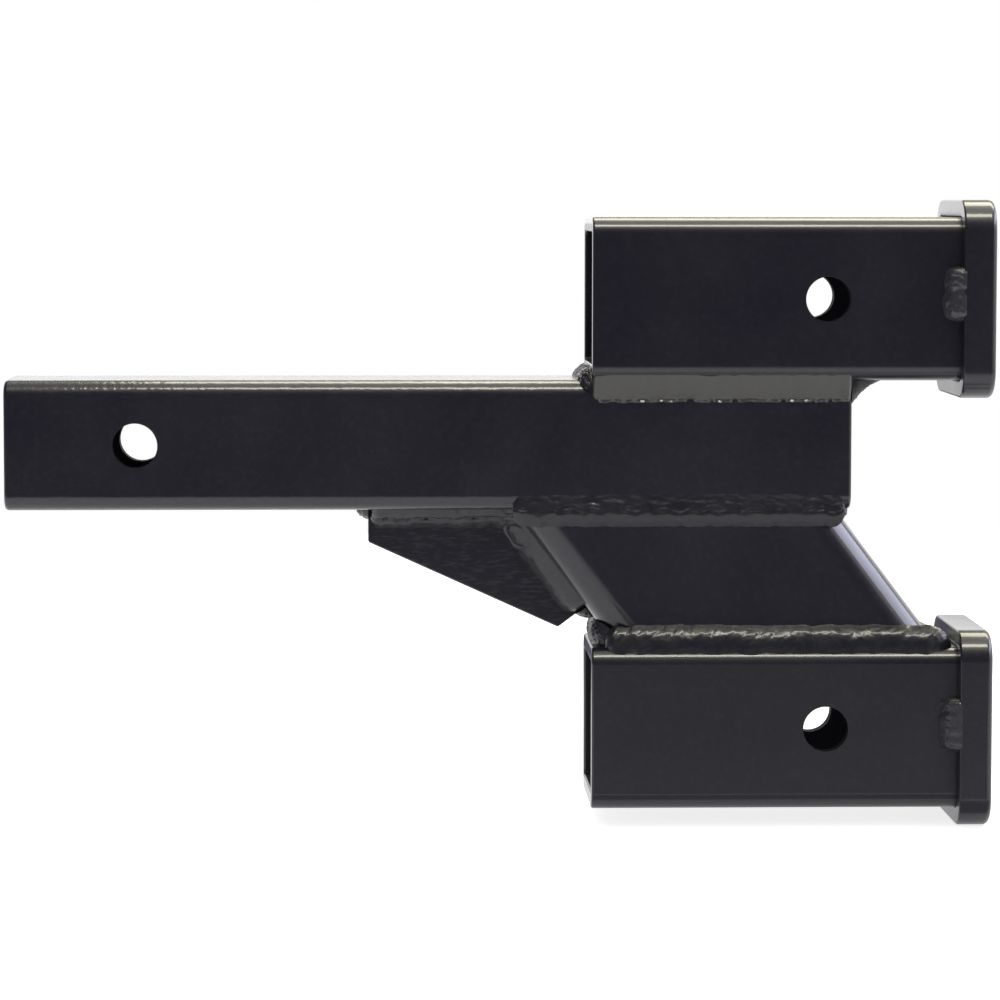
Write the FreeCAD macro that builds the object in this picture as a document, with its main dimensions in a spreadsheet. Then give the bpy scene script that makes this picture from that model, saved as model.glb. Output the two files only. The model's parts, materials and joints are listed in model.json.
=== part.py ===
"""Dual hitch receiver: a welded steel adapter that carries two receivers on one square hitch shank.

The origin is the centre of the shank's hitch pin hole. +X runs along the shank towards the mouths of the
receivers, +Z is up. Left is -Y and right is +Y, front is the vehicle's end (-X) and rear the mouths' end.
"""
import FreeCAD
import Part
import Sketcher

import math
import os

from FreeCAD import Placement, Rotation, Vector

# Driving dimensions in millimetres and degrees: name, value, meaning
SIZES = (
    ("shank_size", 50.8, "shank across its flats"),
    ("shank_wall", 6.35, "shank wall"),
    ("shank_corner", 6.2, "shank outer corner radius"),
    ("shank_pin_inset", 50.8, "shank's free end to the middle of its pin hole"),
    ("mouth_reach", 330.0, "shank's pin hole to the mouth end of the receiver tubes"),
    ("shank_setback", 50.6, "shank's rear end ahead of the receivers' mouth end"),
    ("pin_hole", 17.5, "hitch pin holes, diameter"),
    ("socket_clearance", 0.8, "receiver opening, over the size of a shank"),
    ("receiver_wall", 5.95, "receiver wall"),
    ("receiver_corner", 6.5, "receiver outer corner radius"),
    ("receiver_length", 152.4, "receiver tube end to end"),
    ("receiver_pin_inset", 60.8, "receiver tube's mouth end to the middle of its pin hole"),
    ("collar_thickness", 6.6, "collar, radial"),
    ("collar_width", 12.8, "collar, along the tube"),
    ("collar_corner", 12.0, "collar outer corner radius"),
    ("collar_gap", 0.2, "collar's fit round the tube, each side"),
    ("collar_proud", 3.8, "collar's mouth face beyond the end of the tube"),
    ("collar_bevel", 2.4, "bevel round the collar's mouth edge"),
    ("drop_height", 53.6, "drop tube between shank and lower receiver"),
    ("drop_width", 101.6, "drop tube section along the hitch, square to its slant"),
    ("drop_depth", 50.8, "drop tube section across the hitch"),
    ("drop_wall", 6.35, "drop tube wall"),
    ("drop_corner", 12.0, "drop tube outer corner radius"),
    ("drop_angle_deg", 53.0, "drop tube's slant from level, degrees"),
    ("drop_clear", 6.4, "drop tube's foot ahead of the lower collar"),
    ("gusset_thickness", 9.5, "gusset plate"),
    ("gusset_run", 56.5, "gusset along the shank"),
    ("gusset_rise", 49.5, "gusset along the drop tube"),
    ("gusset_nose", 14.0, "gusset's two short ends"),
    ("gusset_clip", 8.0, "gusset's corner clipped clear of the weld behind it"),
    ("edge_break", 0.8, "deburred edges at the tube ends"),
    ("plate_break", 0.6, "deburred edges of the gusset"),
    ("flare_angle_deg", 37.0, "upper weld's reach round the receiver's corner, degrees"),
    ("flare_leg", 8.6, "upper weld's reach down the shank"),
    ("flare_crown", 0.5, "upper weld's bulge"),
    ("end_leg", 5.3, "welds across a tube's end"),
    ("heel_leg", 8.0, "weld behind the shank's end, along the receiver"),
    ("seam_leg", 6.3, "weld at the top of the drop tube, up and down"),
    ("seam_crown", 2.6, "weld at the top of the drop tube, bulge"),
    ("foot_leg", 8.5, "weld at the foot of the drop tube, up its side"),
    ("foot_angle_deg", 50.0, "foot weld's reach round the receiver's corner, degrees"),
    ("foot_crown", 1.6, "foot weld's bulge"),
    ("heap_leg", 12.0, "heaped weld at the front of the foot, up the slant"),
    ("heap_reach", 8.6, "heaped weld at the front of the foot, along the receiver"),
    ("gusset_leg", 8.6, "welds beside the gusset"),
    ("wrap_leg", 5.0, "welds round the gusset's short ends"),
    ("stitch_leg", 5.4, "stitch welds behind the collars"),
    ("stitch_length", 23.0, "stitch welds, end to end"),
    ("stitch_lift", 2.0, "middle of the stitch welds above the tube's middle"),
    ("mouth_leg", 3.2, "weld inside the collar's mouth"),
    ("mouth_land", 0.6, "weld inside the collar's mouth, thickness at its front edge"),
    ("weld_crown", 0.8, "bulge of the plain welds"),
    ("weld_bite", 1.5, "weld outlines run on into the steel, where the pieces trim them"),
    ("weld_taper", 6.0, "run-out at a weld's ends"),
    ("ripple_pitch", 7.5, "spacing of the ripples along a weld"),
    ("ripple_share", 0.05, "ripples, share of the weld's section"),
)

FRONT_TO_MOUTH = Vector(1, 0, 0)
SIDES = (("left", -1), ("right", 1))
RECEIVER_SIZE = "(Sizes.shank_size + Sizes.socket_clearance + 2 * Sizes.receiver_wall)"
COLLAR_BORE = f"({RECEIVER_SIZE} + 2 * Sizes.collar_gap)"
COLLAR_BORE_CORNER = "Sizes.receiver_corner + Sizes.collar_gap"
RECEIVER_START = "(Sizes.mouth_reach - Sizes.receiver_length)"
COLLAR_START = "(Sizes.mouth_reach + Sizes.collar_proud - Sizes.collar_width)"
SHANK_END = "(Sizes.mouth_reach - Sizes.shank_setback)"
SHANK_LENGTH = f"({SHANK_END} + Sizes.shank_pin_inset)"
SLANT = "(Sizes.drop_angle_deg * 1 deg)"
LEVEL_WIDTH = f"(Sizes.drop_width / sin{SLANT})"
LEAN = f"(Sizes.drop_height / tan{SLANT})"
FOOT_START = f"({COLLAR_START} - Sizes.drop_clear - {LEVEL_WIDTH})"
DROP_START = f"({FOOT_START} - {LEAN})"
RECEIVER_HEIGHT = {
    "upper": f"(Sizes.shank_size + {RECEIVER_SIZE}) / 2",
    "lower": f"-(Sizes.shank_size + {RECEIVER_SIZE}) / 2 - Sizes.drop_height",
}

doc = FreeCAD.newDocument("dual_hitch_receiver")
pieces = {}


def make_sheet():
    """Write the driving dimensions into the document's spreadsheet."""
    sheet = doc.addObject("Spreadsheet::Sheet", "Sizes")
    for row, (alias, value, meaning) in enumerate(SIZES, start=1):
        sheet.set(f"A{row}", meaning)
        sheet.set(f"B{row}", str(value))
        sheet.setAlias(f"B{row}", alias)
    doc.recompute()
    return sheet


sizes = make_sheet()


def size(alias):
    """Value of one driving dimension."""
    return float(sizes.get(alias))


def value(expression):
    """Number that a sheet expression gives."""
    return float(sizes.evalExpression(expression))


def new_body(label, x="0", z="0"):
    """Start a piece whose own origin stands at x, z on the middle plane."""
    body = doc.addObject("PartDesign::Body", label)
    body.Label = label
    body.Placement = Placement()
    body.setExpression("Placement.Base.x", x)
    body.setExpression("Placement.Base.z", z)
    pieces[label] = body
    return body


def new_sketch(body, name, role, along="0"):
    """Attach a sketch to one of the body's own planes, moved along the plane's normal."""
    sketch = body.newObject("Sketcher::SketchObject", name)
    plane = [item for item in body.Origin.OriginFeatures if item.Role == role][0]
    sketch.AttachmentSupport = [(plane, "")]
    sketch.MapMode = "FlatFace"
    sketch.setExpression("AttachmentOffset.Base.z", along)
    return sketch


def bind(sketch, constraint, name, expression):
    """Add a dimension to a sketch and tie it to the sheet."""
    index = sketch.addConstraint(constraint)
    sketch.renameConstraint(index, name)
    sketch.setExpression(f"Constraints.{name}", expression)


def rounded_rectangle(sketch, name, width, height, corner):
    """Draw a rectangle with round corners about the sketch's origin."""
    radius = value(corner)
    right = value(width) / 2
    top = value(height) / 2
    flats = ((0, -top), (right, 0), (0, top), (-right, 0))
    first = sketch.GeometryCount
    for turn, (x, y) in enumerate(flats):
        along = Vector(math.cos(turn * math.pi / 2), math.sin(turn * math.pi / 2), 0)
        reach = (right if y else top) - radius
        middle = Vector(x, y, 0)
        end = middle + along * reach
        sketch.addGeometry(Part.LineSegment(middle - along * reach, end))
        centre = end + Vector(-along.y, along.x, 0) * radius
        start_angle = (turn - 1) * math.pi / 2
        circle = Part.Circle(centre, Vector(0, 0, 1), radius)
        sketch.addGeometry(Part.ArcOfCircle(circle, start_angle, start_angle + math.pi / 2))
    bottom, corner_arc, right_line, _, top_line, opposite_arc, left_line, _ = range(first, first + 8)
    for step in range(8):
        after = first + (step + 1) % 8
        sketch.addConstraint(Sketcher.Constraint("Tangent", first + step, 2, after, 1))
    for line in (bottom, top_line):
        sketch.addConstraint(Sketcher.Constraint("Horizontal", line))
    for line in (right_line, left_line):
        sketch.addConstraint(Sketcher.Constraint("Vertical", line))
    for arc in (first + 3, first + 5, first + 7):
        sketch.addConstraint(Sketcher.Constraint("Equal", corner_arc, arc))
    sketch.addConstraint(Sketcher.Constraint("Symmetric", corner_arc, 3, opposite_arc, 3, -1, 1))
    bind(sketch, Sketcher.Constraint("Radius", corner_arc, radius), f"{name}_corner", corner)
    span = Sketcher.Constraint("DistanceX", left_line, 1, right_line, 1, 2 * right)
    bind(sketch, span, f"{name}_width", width)
    rise = Sketcher.Constraint("DistanceY", bottom, 1, top_line, 1, 2 * top)
    bind(sketch, rise, f"{name}_height", height)


def pad(body, sketch, length, symmetric=False):
    """Extrude a sketch by a length from the sheet."""
    feature = body.newObject("PartDesign::Pad", f"{body.Name}_pad")
    feature.Profile = sketch
    feature.SideType = "Symmetric" if symmetric else "One side"
    feature.setExpression("Length", length)
    doc.recompute()
    return feature


def ring_pad(body, outer, bore, length, symmetric=False):
    """Extrude a rounded square ring; outer and bore each give width, height and corner radius."""
    sketch = new_sketch(body, f"{body.Name}_section", "YZ_Plane")
    rounded_rectangle(sketch, "outer", *outer)
    rounded_rectangle(sketch, "bore", *bore)
    doc.recompute()
    return pad(body, sketch, length, symmetric)


def drill_pin_hole(body, along_tube):
    """Drill the hitch pin hole across the tube, through both side walls."""
    before = body.Shape.Volume
    sketch = new_sketch(body, f"{body.Name}_pin_section", "XZ_Plane")
    sketch.setExpression("AttachmentOffset.Base.x", along_tube)
    circle = Part.Circle(Vector(0, 0, 0), Vector(0, 0, 1), size("pin_hole") / 2)
    hole = sketch.addGeometry(circle)
    sketch.addConstraint(Sketcher.Constraint("Coincident", hole, 3, -1, 1))
    bind(sketch, Sketcher.Constraint("Diameter", hole, size("pin_hole")), "pin_hole", "Sizes.pin_hole")
    doc.recompute()
    pocket = body.newObject("PartDesign::Pocket", f"{body.Name}_pin_hole")
    pocket.Profile = sketch
    pocket.SideType = "Symmetric"
    pocket.Type = "ThroughAll"
    doc.recompute()
    if body.Shape.Volume >= before:
        raise RuntimeError(f"{body.Label}: the pin hole cut nothing")
    return pocket


def outer_edges(feature, x):
    """Names of the edges round the outside of a tube in the plane at x."""
    flat = []
    for index, edge in enumerate(feature.Shape.Edges, start=1):
        box = edge.BoundBox
        if abs(box.XMin - x) < 1e-4 and abs(box.XMax - x) < 1e-4:
            reach = max(-box.YMin, box.YMax, -box.ZMin, box.ZMax)
            flat.append((reach, f"Edge{index}"))
    outside = max(flat)[0]
    return [name for reach, name in flat if reach > outside - 1e-4]


def break_edges(body, feature, stations, alias):
    """Chamfer the outer edges in the given planes across a tube."""
    chamfer = body.newObject("PartDesign::Chamfer", f"{body.Name}_break")
    chamfer.Base = (feature, [name for x in stations for name in outer_edges(feature, x)])
    chamfer.setExpression("Size", f"Sizes.{alias}")
    doc.recompute()


def make_shank():
    """Square tube that goes into the vehicle's receiver, open at both ends."""
    body = new_body("shank_tube", "-Sizes.shank_pin_inset")
    bore = "Sizes.shank_size - 2 * Sizes.shank_wall"
    outer = ("Sizes.shank_size", "Sizes.shank_size", "Sizes.shank_corner")
    inner_corner = "max(Sizes.shank_corner - Sizes.shank_wall / 2; Sizes.edge_break)"
    ring_pad(body, outer, (bore, bore, inner_corner), SHANK_LENGTH)
    drilled = drill_pin_hole(body, "Sizes.shank_pin_inset")
    break_edges(body, drilled, (0, value(SHANK_LENGTH)), "edge_break")


def make_receiver(level):
    """Square tube that takes another shank, drilled for its pin."""
    body = new_body(f"{level}_receiver_tube", RECEIVER_START, RECEIVER_HEIGHT[level])
    opening = "Sizes.shank_size + Sizes.socket_clearance"
    inner_corner = "max(Sizes.receiver_corner - Sizes.receiver_wall / 2; Sizes.edge_break)"
    outer = (RECEIVER_SIZE, RECEIVER_SIZE, "Sizes.receiver_corner")
    ring_pad(body, outer, (opening, opening, inner_corner), "Sizes.receiver_length")
    drilled = drill_pin_hole(body, "Sizes.receiver_length - Sizes.receiver_pin_inset")
    break_edges(body, drilled, (0,), "edge_break")


def make_collar(level):
    """Square ring round the mouth of a receiver, bevelled at its mouth edge."""
    body = new_body(f"{level}_collar", COLLAR_START, RECEIVER_HEIGHT[level])
    outside = f"{COLLAR_BORE} + 2 * Sizes.collar_thickness"
    outer = (outside, outside, "Sizes.collar_corner")
    ring = ring_pad(body, outer, (COLLAR_BORE, COLLAR_BORE, COLLAR_BORE_CORNER), "Sizes.collar_width")
    break_edges(body, ring, (size("collar_width"),), "collar_bevel")


def make_mouth_weld(level):
    """Fillet weld all round inside the collar's mouth, on the end of the tube."""
    body = new_body(f"{level}_collar_face_weld", "Sizes.mouth_reach", RECEIVER_HEIGHT[level])
    section = new_sketch(body, f"{body.Name}_outside", "YZ_Plane")
    rounded_rectangle(section, "outer", COLLAR_BORE, COLLAR_BORE, COLLAR_BORE_CORNER)
    doc.recompute()
    pad(body, section, "Sizes.mouth_leg")
    throats = []
    stations = (("front", "Sizes.mouth_leg", "Sizes.mouth_land"), ("back", "0", "Sizes.mouth_leg"))
    for name, along, inset in stations:
        throat = new_sketch(body, f"{body.Name}_{name}", "YZ_Plane", along)
        clear = f"{COLLAR_BORE} - 2 * {inset}"
        rounded_rectangle(throat, "throat", clear, clear, f"{COLLAR_BORE_CORNER} - {inset}")
        throats.append(throat)
    doc.recompute()
    hollow = body.newObject("PartDesign::SubtractiveLoft", f"{body.Name}_throat")
    hollow.Profile = throats[0]
    hollow.Sections = [throats[1]]
    hollow.Ruled = True
    doc.recompute()


def make_drop_tube():
    """Rectangular tube on the slant, sawn level at both ends."""
    stock = new_body(
        "drop_tube_stock",
        f"{DROP_START} + ({LEVEL_WIDTH} + {LEAN}) / 2",
        "-(Sizes.shank_size + Sizes.drop_height) / 2",
    )
    stock.Placement.Rotation = Rotation(Vector(0, 1, 0), size("drop_angle_deg"))
    stock.setExpression("Placement.Rotation.Angle", "Sizes.drop_angle_deg")
    bore_depth = "Sizes.drop_depth - 2 * Sizes.drop_wall"
    bore_width = "Sizes.drop_width - 2 * Sizes.drop_wall"
    inner_corner = "max(Sizes.drop_corner - Sizes.drop_wall; Sizes.edge_break)"
    outer = ("Sizes.drop_depth", "Sizes.drop_width", "Sizes.drop_corner")
    sawn_long = f"2 * ({LEVEL_WIDTH} + {LEAN})"
    ring_pad(stock, outer, (bore_depth, bore_width, inner_corner), sawn_long, symmetric=True)
    slab = doc.addObject("Part::Box", "drop_tube_slab")
    slab.setExpression("Length", f"{LEVEL_WIDTH} + 2 * {LEAN}")
    slab.setExpression("Width", "2 * Sizes.drop_depth")
    slab.setExpression("Height", "Sizes.drop_height")
    slab.setExpression("Placement.Base.x", f"{DROP_START} - {LEAN} / 2")
    slab.setExpression("Placement.Base.y", "-Sizes.drop_depth")
    slab.setExpression("Placement.Base.z", "-Sizes.shank_size / 2 - Sizes.drop_height")
    sawn = doc.addObject("Part::Common", "drop_tube")
    sawn.Base = stock
    sawn.Tool = slab
    sawn.Label = "drop_tube"
    doc.recompute()
    del pieces["drop_tube_stock"]
    pieces["drop_tube"] = sawn


def make_gusset():
    """Plate in the corner of shank and drop tube, with two short ends and a clipped inner corner."""
    body = new_body("gusset_plate", DROP_START, "-Sizes.shank_size / 2")
    sketch = new_sketch(body, "gusset_plate_outline", "XZ_Plane")
    run, rise = size("gusset_run"), size("gusset_rise")
    nose, clip = size("gusset_nose"), size("gusset_clip")
    slant = math.radians(size("drop_angle_deg"))
    down = Vector(math.cos(slant), -math.sin(slant), 0)
    away = Vector(-math.sin(slant), -math.cos(slant), 0)
    toe = down * rise
    along_shank = [Vector(-run, -nose, 0), Vector(-run, 0, 0), Vector(-clip, 0, 0)]
    points = [*along_shank[1:], down * clip, toe, toe + away * nose, along_shank[0]]
    for index, point in enumerate(points):
        sketch.addGeometry(Part.LineSegment(point, points[(index + 1) % len(points)]))
    for index in range(len(points)):
        after = (index + 1) % len(points)
        sketch.addConstraint(Sketcher.Constraint("Coincident", index, 2, after, 1))
    top, clipped, slanted, short_end, _, front_end = range(len(points))
    for line in (top, clipped):
        sketch.addConstraint(Sketcher.Constraint("PointOnObject", line, 1, -1))
    sketch.addConstraint(Sketcher.Constraint("Vertical", front_end))

    def across(name, start, end, expression):
        """Tie the distance along X from one point to another."""
        bind(sketch, Sketcher.Constraint("DistanceX", *start, *end, value(expression)), name, expression)

    def upright(name, start, end, expression):
        """Tie the distance along Z from one point up to another."""
        bind(sketch, Sketcher.Constraint("DistanceY", *start, *end, value(expression)), name, expression)

    corner = (-1, 1)
    across("run", (top, 1), corner, "Sizes.gusset_run")
    across("clip", (clipped, 1), corner, "Sizes.gusset_clip")
    across("clip_across", corner, (slanted, 1), f"Sizes.gusset_clip * cos{SLANT}")
    upright("clip_down", (slanted, 1), corner, f"Sizes.gusset_clip * sin{SLANT}")
    across("rise_across", corner, (short_end, 1), f"Sizes.gusset_rise * cos{SLANT}")
    upright("rise_down", (short_end, 1), corner, f"Sizes.gusset_rise * sin{SLANT}")
    across("nose_across", (short_end, 2), (short_end, 1), f"Sizes.gusset_nose * sin{SLANT}")
    upright("nose_down", (short_end, 2), (short_end, 1), f"Sizes.gusset_nose * cos{SLANT}")
    upright("front_nose", (front_end, 1), (front_end, 2), "Sizes.gusset_nose")
    doc.recompute()
    plate = pad(body, sketch, "Sizes.gusset_thickness", symmetric=True)
    free_edge = (points[4] - points[5]).Length
    edges = enumerate(plate.Shape.Edges, start=1)
    free = [f"Edge{index}" for index, edge in edges if abs(edge.Length - free_edge) < 1e-4]
    chamfer = body.newObject("PartDesign::Chamfer", "gusset_plate_break")
    chamfer.Base = (plate, free)
    chamfer.setExpression("Size", "Sizes.plate_break")
    doc.recompute()


def ripple_stations(length, rippled):
    """Distances along a weld and the size of its section there, rounded off at both ends."""
    taper = min(size("weld_taper"), length / 3)
    nose = ((0.0, 0.35), (0.12, 0.62), (0.45, 0.9), (1.0, 1.0))
    stations = [(taper * share, scale) for share, scale in nose]
    if rippled:
        count = max(2, round((length - 2 * taper) / size("ripple_pitch")))
        pitch = (length - 2 * taper) / count
        for index in range(count):
            trough = taper + pitch * (index + 0.35)
            stations.append((trough, 1 - size("ripple_share")))
            stations.append((taper + pitch * (index + 1), 1.0))
        stations.pop()
    stations += [(length - taper * share, scale) for share, scale in reversed(nose)]
    return stations


def skin(rings):
    """Solid through a row of like outlines, with a flat face from each side of one to the next."""
    count = len(rings[0])
    outlines = [rings[0], rings[-1]]
    for near, far in zip(rings, rings[1:]):
        for index in range(count):
            after = (index + 1) % count
            outlines.append([near[index], near[after], far[after], far[index]])
    faces = [Part.Face(Part.makePolygon([*outline, outline[0]])) for outline in outlines]
    shell = Part.makeShell(faces)
    shell.sewShape()
    solid = Part.makeSolid(shell)
    if solid.Volume < 0:
        solid.reverse()
    return solid


def weld(label, start, end, toes, back, crown, carriers, rippled=False):
    """Lay a weld from start to end in the corner of its carriers, which trim it.

    The section runs from toe to toe over a crown; toes and back are measured from the root line, and back
    points into the joint.
    """
    run = end - start
    into = Vector(back).normalize()
    first, last = toes
    bite = into * size("weld_bite")
    face = [first + (last - first) * share - into * crown * 4 * share * (1 - share) for share in (0.3, 0.7)]
    outline = [back, first + bite, first, *face, last, last + bite]
    rings = []
    for distance, scale in ripple_stations(run.Length, rippled):
        place = run * (distance / run.Length)
        rings.append([place + point * scale for point in outline])
    bead = doc.addObject("Part::Feature", f"{label}_run")
    bead.Shape = skin(rings)
    bead.Placement = Placement(start, Rotation())
    for carrier in carriers:
        trimmed = doc.addObject("Part::Cut", f"{label}_on_{carrier}")
        trimmed.Base = bead
        trimmed.Tool = pieces[carrier]
        bead = trimmed
    bead.Label = label
    pieces[label] = bead


def make_upper_receiver_welds():
    """Welds round the foot of the upper receiver, on top of the shank and behind its end."""
    carriers = ["shank_tube", "upper_receiver_tube"]
    half = size("shank_size") / 2
    receiver_half = value(RECEIVER_SIZE) / 2
    corner = size("receiver_corner")
    wrap = math.radians(size("flare_angle_deg"))
    shank_end = value(SHANK_END)
    receiver_start = value(RECEIVER_START)
    groove = size("shank_corner")
    for side, sign in SIDES:
        root = Vector(0, sign * half, half)
        on_receiver = Vector(
            0,
            sign * (receiver_half - corner + corner * math.sin(wrap) - half),
            corner * (1 - math.cos(wrap)),
        )
        on_shank = Vector(0, 0, -size("flare_leg"))
        weld(
            f"upper_receiver_weld_{side}",
            root + FRONT_TO_MOUTH * receiver_start,
            root + FRONT_TO_MOUTH * shank_end,
            (on_receiver, on_shank),
            Vector(0, -sign * groove, -size("weld_bite") / 2),
            size("flare_crown"),
            carriers,
        )
    reach = half - size("weld_bite")
    leg = size("end_leg")
    front = Vector(receiver_start, 0, half)
    bite = size("weld_bite")
    weld(
        "upper_receiver_weld_front",
        front + Vector(0, -reach, 0),
        front + Vector(0, reach, 0),
        (Vector(0, 0, leg), Vector(-leg, 0, 0)),
        Vector(bite, 0, -2 * bite),
        size("weld_crown"),
        carriers + ["upper_receiver_weld_left", "upper_receiver_weld_right"],
    )
    heel = Vector(shank_end, 0, half)
    weld(
        "upper_receiver_weld_rear",
        heel + Vector(0, -reach, 0),
        heel + Vector(0, reach, 0),
        (Vector(size("heel_leg"), 0, 0), Vector(0, 0, -leg)),
        Vector(-bite, 0, bite),
        -size("flare_crown"),
        carriers + ["upper_receiver_weld_left", "upper_receiver_weld_right"],
    )


def drop_axes():
    """Directions down the drop tube and square away from its front face."""
    slant = math.radians(size("drop_angle_deg"))
    down = Vector(math.cos(slant), 0, -math.sin(slant))
    away = Vector(-math.sin(slant), 0, -math.cos(slant))
    return down, away


def make_drop_top_welds():
    """Welds between the underside of the shank and the top of the drop tube."""
    carriers = ["shank_tube", "drop_tube"]
    half = size("shank_size") / 2
    down, _ = drop_axes()
    level_width = value(LEVEL_WIDTH)
    drop_start = value(DROP_START)
    seam, leg = size("seam_leg"), size("end_leg")
    for side, sign in SIDES:
        root = Vector(drop_start, sign * size("drop_depth") / 2, -half)
        weld(
            f"drop_top_weld_{side}",
            root,
            root + FRONT_TO_MOUTH * (level_width + leg / 2),
            (Vector(0, sign * (half - size("drop_depth") / 2), seam), Vector(0, 0, -seam)),
            Vector(0, -sign * size("drop_wall") * 0.9, 0),
            size("seam_crown"),
            carriers,
        )
    reach = size("drop_depth") / 2 - size("drop_wall") - size("weld_bite")
    sides = ["drop_top_weld_left", "drop_top_weld_right"]
    ahead = Vector(-1, 0, 0)
    behind = Vector(1, 0, 0)
    for name, x, out in (("front", 0, ahead), ("rear", level_width, behind)):
        root = Vector(drop_start + x, 0, -half)
        weld(
            f"drop_top_weld_{name}",
            root + Vector(0, -reach, 0),
            root + Vector(0, reach, 0),
            (out * leg * 0.9, down * leg),
            (out + down) * -size("weld_bite"),
            size("weld_crown") / 2,
            carriers + sides,
        )


def make_drop_bottom_welds():
    """Welds round the foot of the drop tube, on top of the lower receiver."""
    carriers = ["drop_tube", "lower_receiver_tube"]
    down, _ = drop_axes()
    up = down * -1
    level_width = value(LEVEL_WIDTH)
    foot_start = value(FOOT_START)
    foot = -size("shank_size") / 2 - size("drop_height")
    receiver_half = value(RECEIVER_SIZE) / 2
    corner = size("receiver_corner")
    wrap = math.radians(size("foot_angle_deg"))
    bite = size("weld_bite")
    for side, sign in SIDES:
        root = Vector(foot_start, sign * size("drop_depth") / 2, foot)
        over_corner = receiver_half - corner + corner * math.sin(wrap) - size("drop_depth") / 2
        weld(
            f"drop_bottom_weld_{side}",
            root + FRONT_TO_MOUTH * -size("foot_leg") / 2,
            root + FRONT_TO_MOUTH * (level_width + size("foot_leg") / 3),
            (Vector(0, 0, size("foot_leg")), Vector(0, sign * over_corner, -corner * (1 - math.cos(wrap)))),
            Vector(0, -sign * size("drop_wall") * 0.7, -size("drop_wall") * 0.5),
            size("foot_crown"),
            carriers,
            rippled=True,
        )
    reach = size("drop_depth") / 2 - size("drop_wall") + bite / 2
    sides = ["drop_bottom_weld_left", "drop_bottom_weld_right"]
    ends = (
        ("front", 0, Vector(-size("heap_reach"), 0, 0), up * size("heap_leg")),
        ("rear", level_width, Vector(size("end_leg"), 0, 0), up * size("foot_leg") * 0.9),
    )
    for name, x, along, climb in ends:
        root = Vector(foot_start + x, 0, foot)
        into = Vector(along).normalize() + Vector(climb).normalize()
        weld(
            f"drop_bottom_weld_{name}",
            root + Vector(0, -reach, 0),
            root + Vector(0, reach, 0),
            (along, climb),
            into * -bite,
            size("weld_crown"),
            carriers + sides,
            rippled=True,
        )


def make_gusset_welds():
    """Fillets down both sides of the gusset and round its two short ends."""
    half = size("shank_size") / 2
    down, away = drop_axes()
    leg, wrap, bite = size("gusset_leg"), size("wrap_leg"), size("weld_bite")
    corner = Vector(value(DROP_START), 0, -half)
    plate_half = size("gusset_thickness") / 2
    for side, sign in SIDES:
        root = corner + Vector(0, sign * plate_half, 0)
        outward = Vector(0, sign * leg, 0)
        weld(
            f"gusset_shank_weld_{side}",
            root + FRONT_TO_MOUTH * -size("gusset_run"),
            root + FRONT_TO_MOUTH * -bite,
            (outward, Vector(0, 0, -leg)),
            Vector(0, -sign * bite, bite),
            size("weld_crown"),
            ["shank_tube", "gusset_plate", "drop_tube", "drop_top_weld_front"],
        )
    for side, sign in SIDES:
        root = corner + Vector(0, sign * plate_half, 0)
        outward = Vector(0, sign * leg, 0)
        weld(
            f"gusset_drop_weld_{side}",
            root + down * bite,
            root + down * size("gusset_rise"),
            (outward, away * leg),
            Vector(0, -sign * bite, 0) - away * bite,
            size("weld_crown"),
            ["drop_tube", "gusset_plate", "shank_tube", "drop_top_weld_front", f"gusset_shank_weld_{side}"],
        )
    reach = Vector(0, plate_half + wrap, 0)
    front = corner + FRONT_TO_MOUTH * -size("gusset_run")
    weld(
        "gusset_shank_weld_front",
        front - reach,
        front + reach,
        (Vector(-wrap, 0, 0), Vector(0, 0, -wrap)),
        Vector(bite, 0, bite),
        size("weld_crown"),
        ["shank_tube", "gusset_plate", "gusset_shank_weld_left", "gusset_shank_weld_right"],
    )
    toe = corner + down * size("gusset_rise")
    side_welds = ["gusset_drop_weld_left", "gusset_drop_weld_right"]
    weld(
        "gusset_drop_weld_rear",
        toe - reach,
        toe + reach,
        (down * wrap, away * wrap),
        (down + away) * -bite,
        size("weld_crown"),
        ["drop_tube", "gusset_plate", *side_welds, "drop_bottom_weld_front"],
    )


def make_stitch_welds(level):
    """Short upright welds behind a collar, in the middle of both sides of its tube."""
    height = value(RECEIVER_HEIGHT[level]) + size("stitch_lift")
    leg = size("stitch_leg")
    for side, sign in SIDES:
        middle = Vector(value(COLLAR_START), sign * value(RECEIVER_SIZE) / 2, height)
        reach = Vector(0, 0, size("stitch_length") / 2)
        weld(
            f"{level}_collar_weld_{side}",
            middle - reach,
            middle + reach,
            (Vector(-leg, 0, 0), Vector(0, sign * (size("collar_gap") + leg), 0)),
            Vector(0, -sign * size("weld_bite"), 0),
            size("weld_crown"),
            [f"{level}_receiver_tube", f"{level}_collar"],
        )


def write_pieces():
    """Check every object of the document, then write one STEP file for each piece."""
    doc.recompute()
    failed = [item.Name for item in doc.Objects if {"Invalid", "Error"} & set(item.State)]
    for label, piece in pieces.items():
        if piece.Shape.isNull() or not piece.Shape.isValid() or len(piece.Shape.Solids) != 1:
            failed.append(label)
    if failed:
        raise RuntimeError(f"these did not build: {failed}")
    os.makedirs("parts", exist_ok=True)
    for label, piece in pieces.items():
        piece.Shape.exportStep(f"parts/{label}.step")


make_shank()
for receiver_level in ("upper", "lower"):
    make_receiver(receiver_level)
    make_collar(receiver_level)
    make_mouth_weld(receiver_level)
make_drop_tube()
make_gusset()
make_upper_receiver_welds()
make_drop_top_welds()
make_drop_bottom_welds()
make_gusset_welds()
for receiver_level in ("upper", "lower"):
    make_stitch_welds(receiver_level)
write_pieces()
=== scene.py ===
"""Dual hitch receiver: black powder-coated steel tubes, collars, a gusset plate and their welds."""

import json
import logging
import math
from dataclasses import dataclass, field
from enum import Enum
from typing import Any

import bmesh
import bpy
from bmesh import ops
from bmesh.types import BMEdge, BMesh, BMVert
from bpy.types import Material, NodeSocket, NodeTree, Object, World
from mathutils import Matrix, Vector, noise


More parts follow.
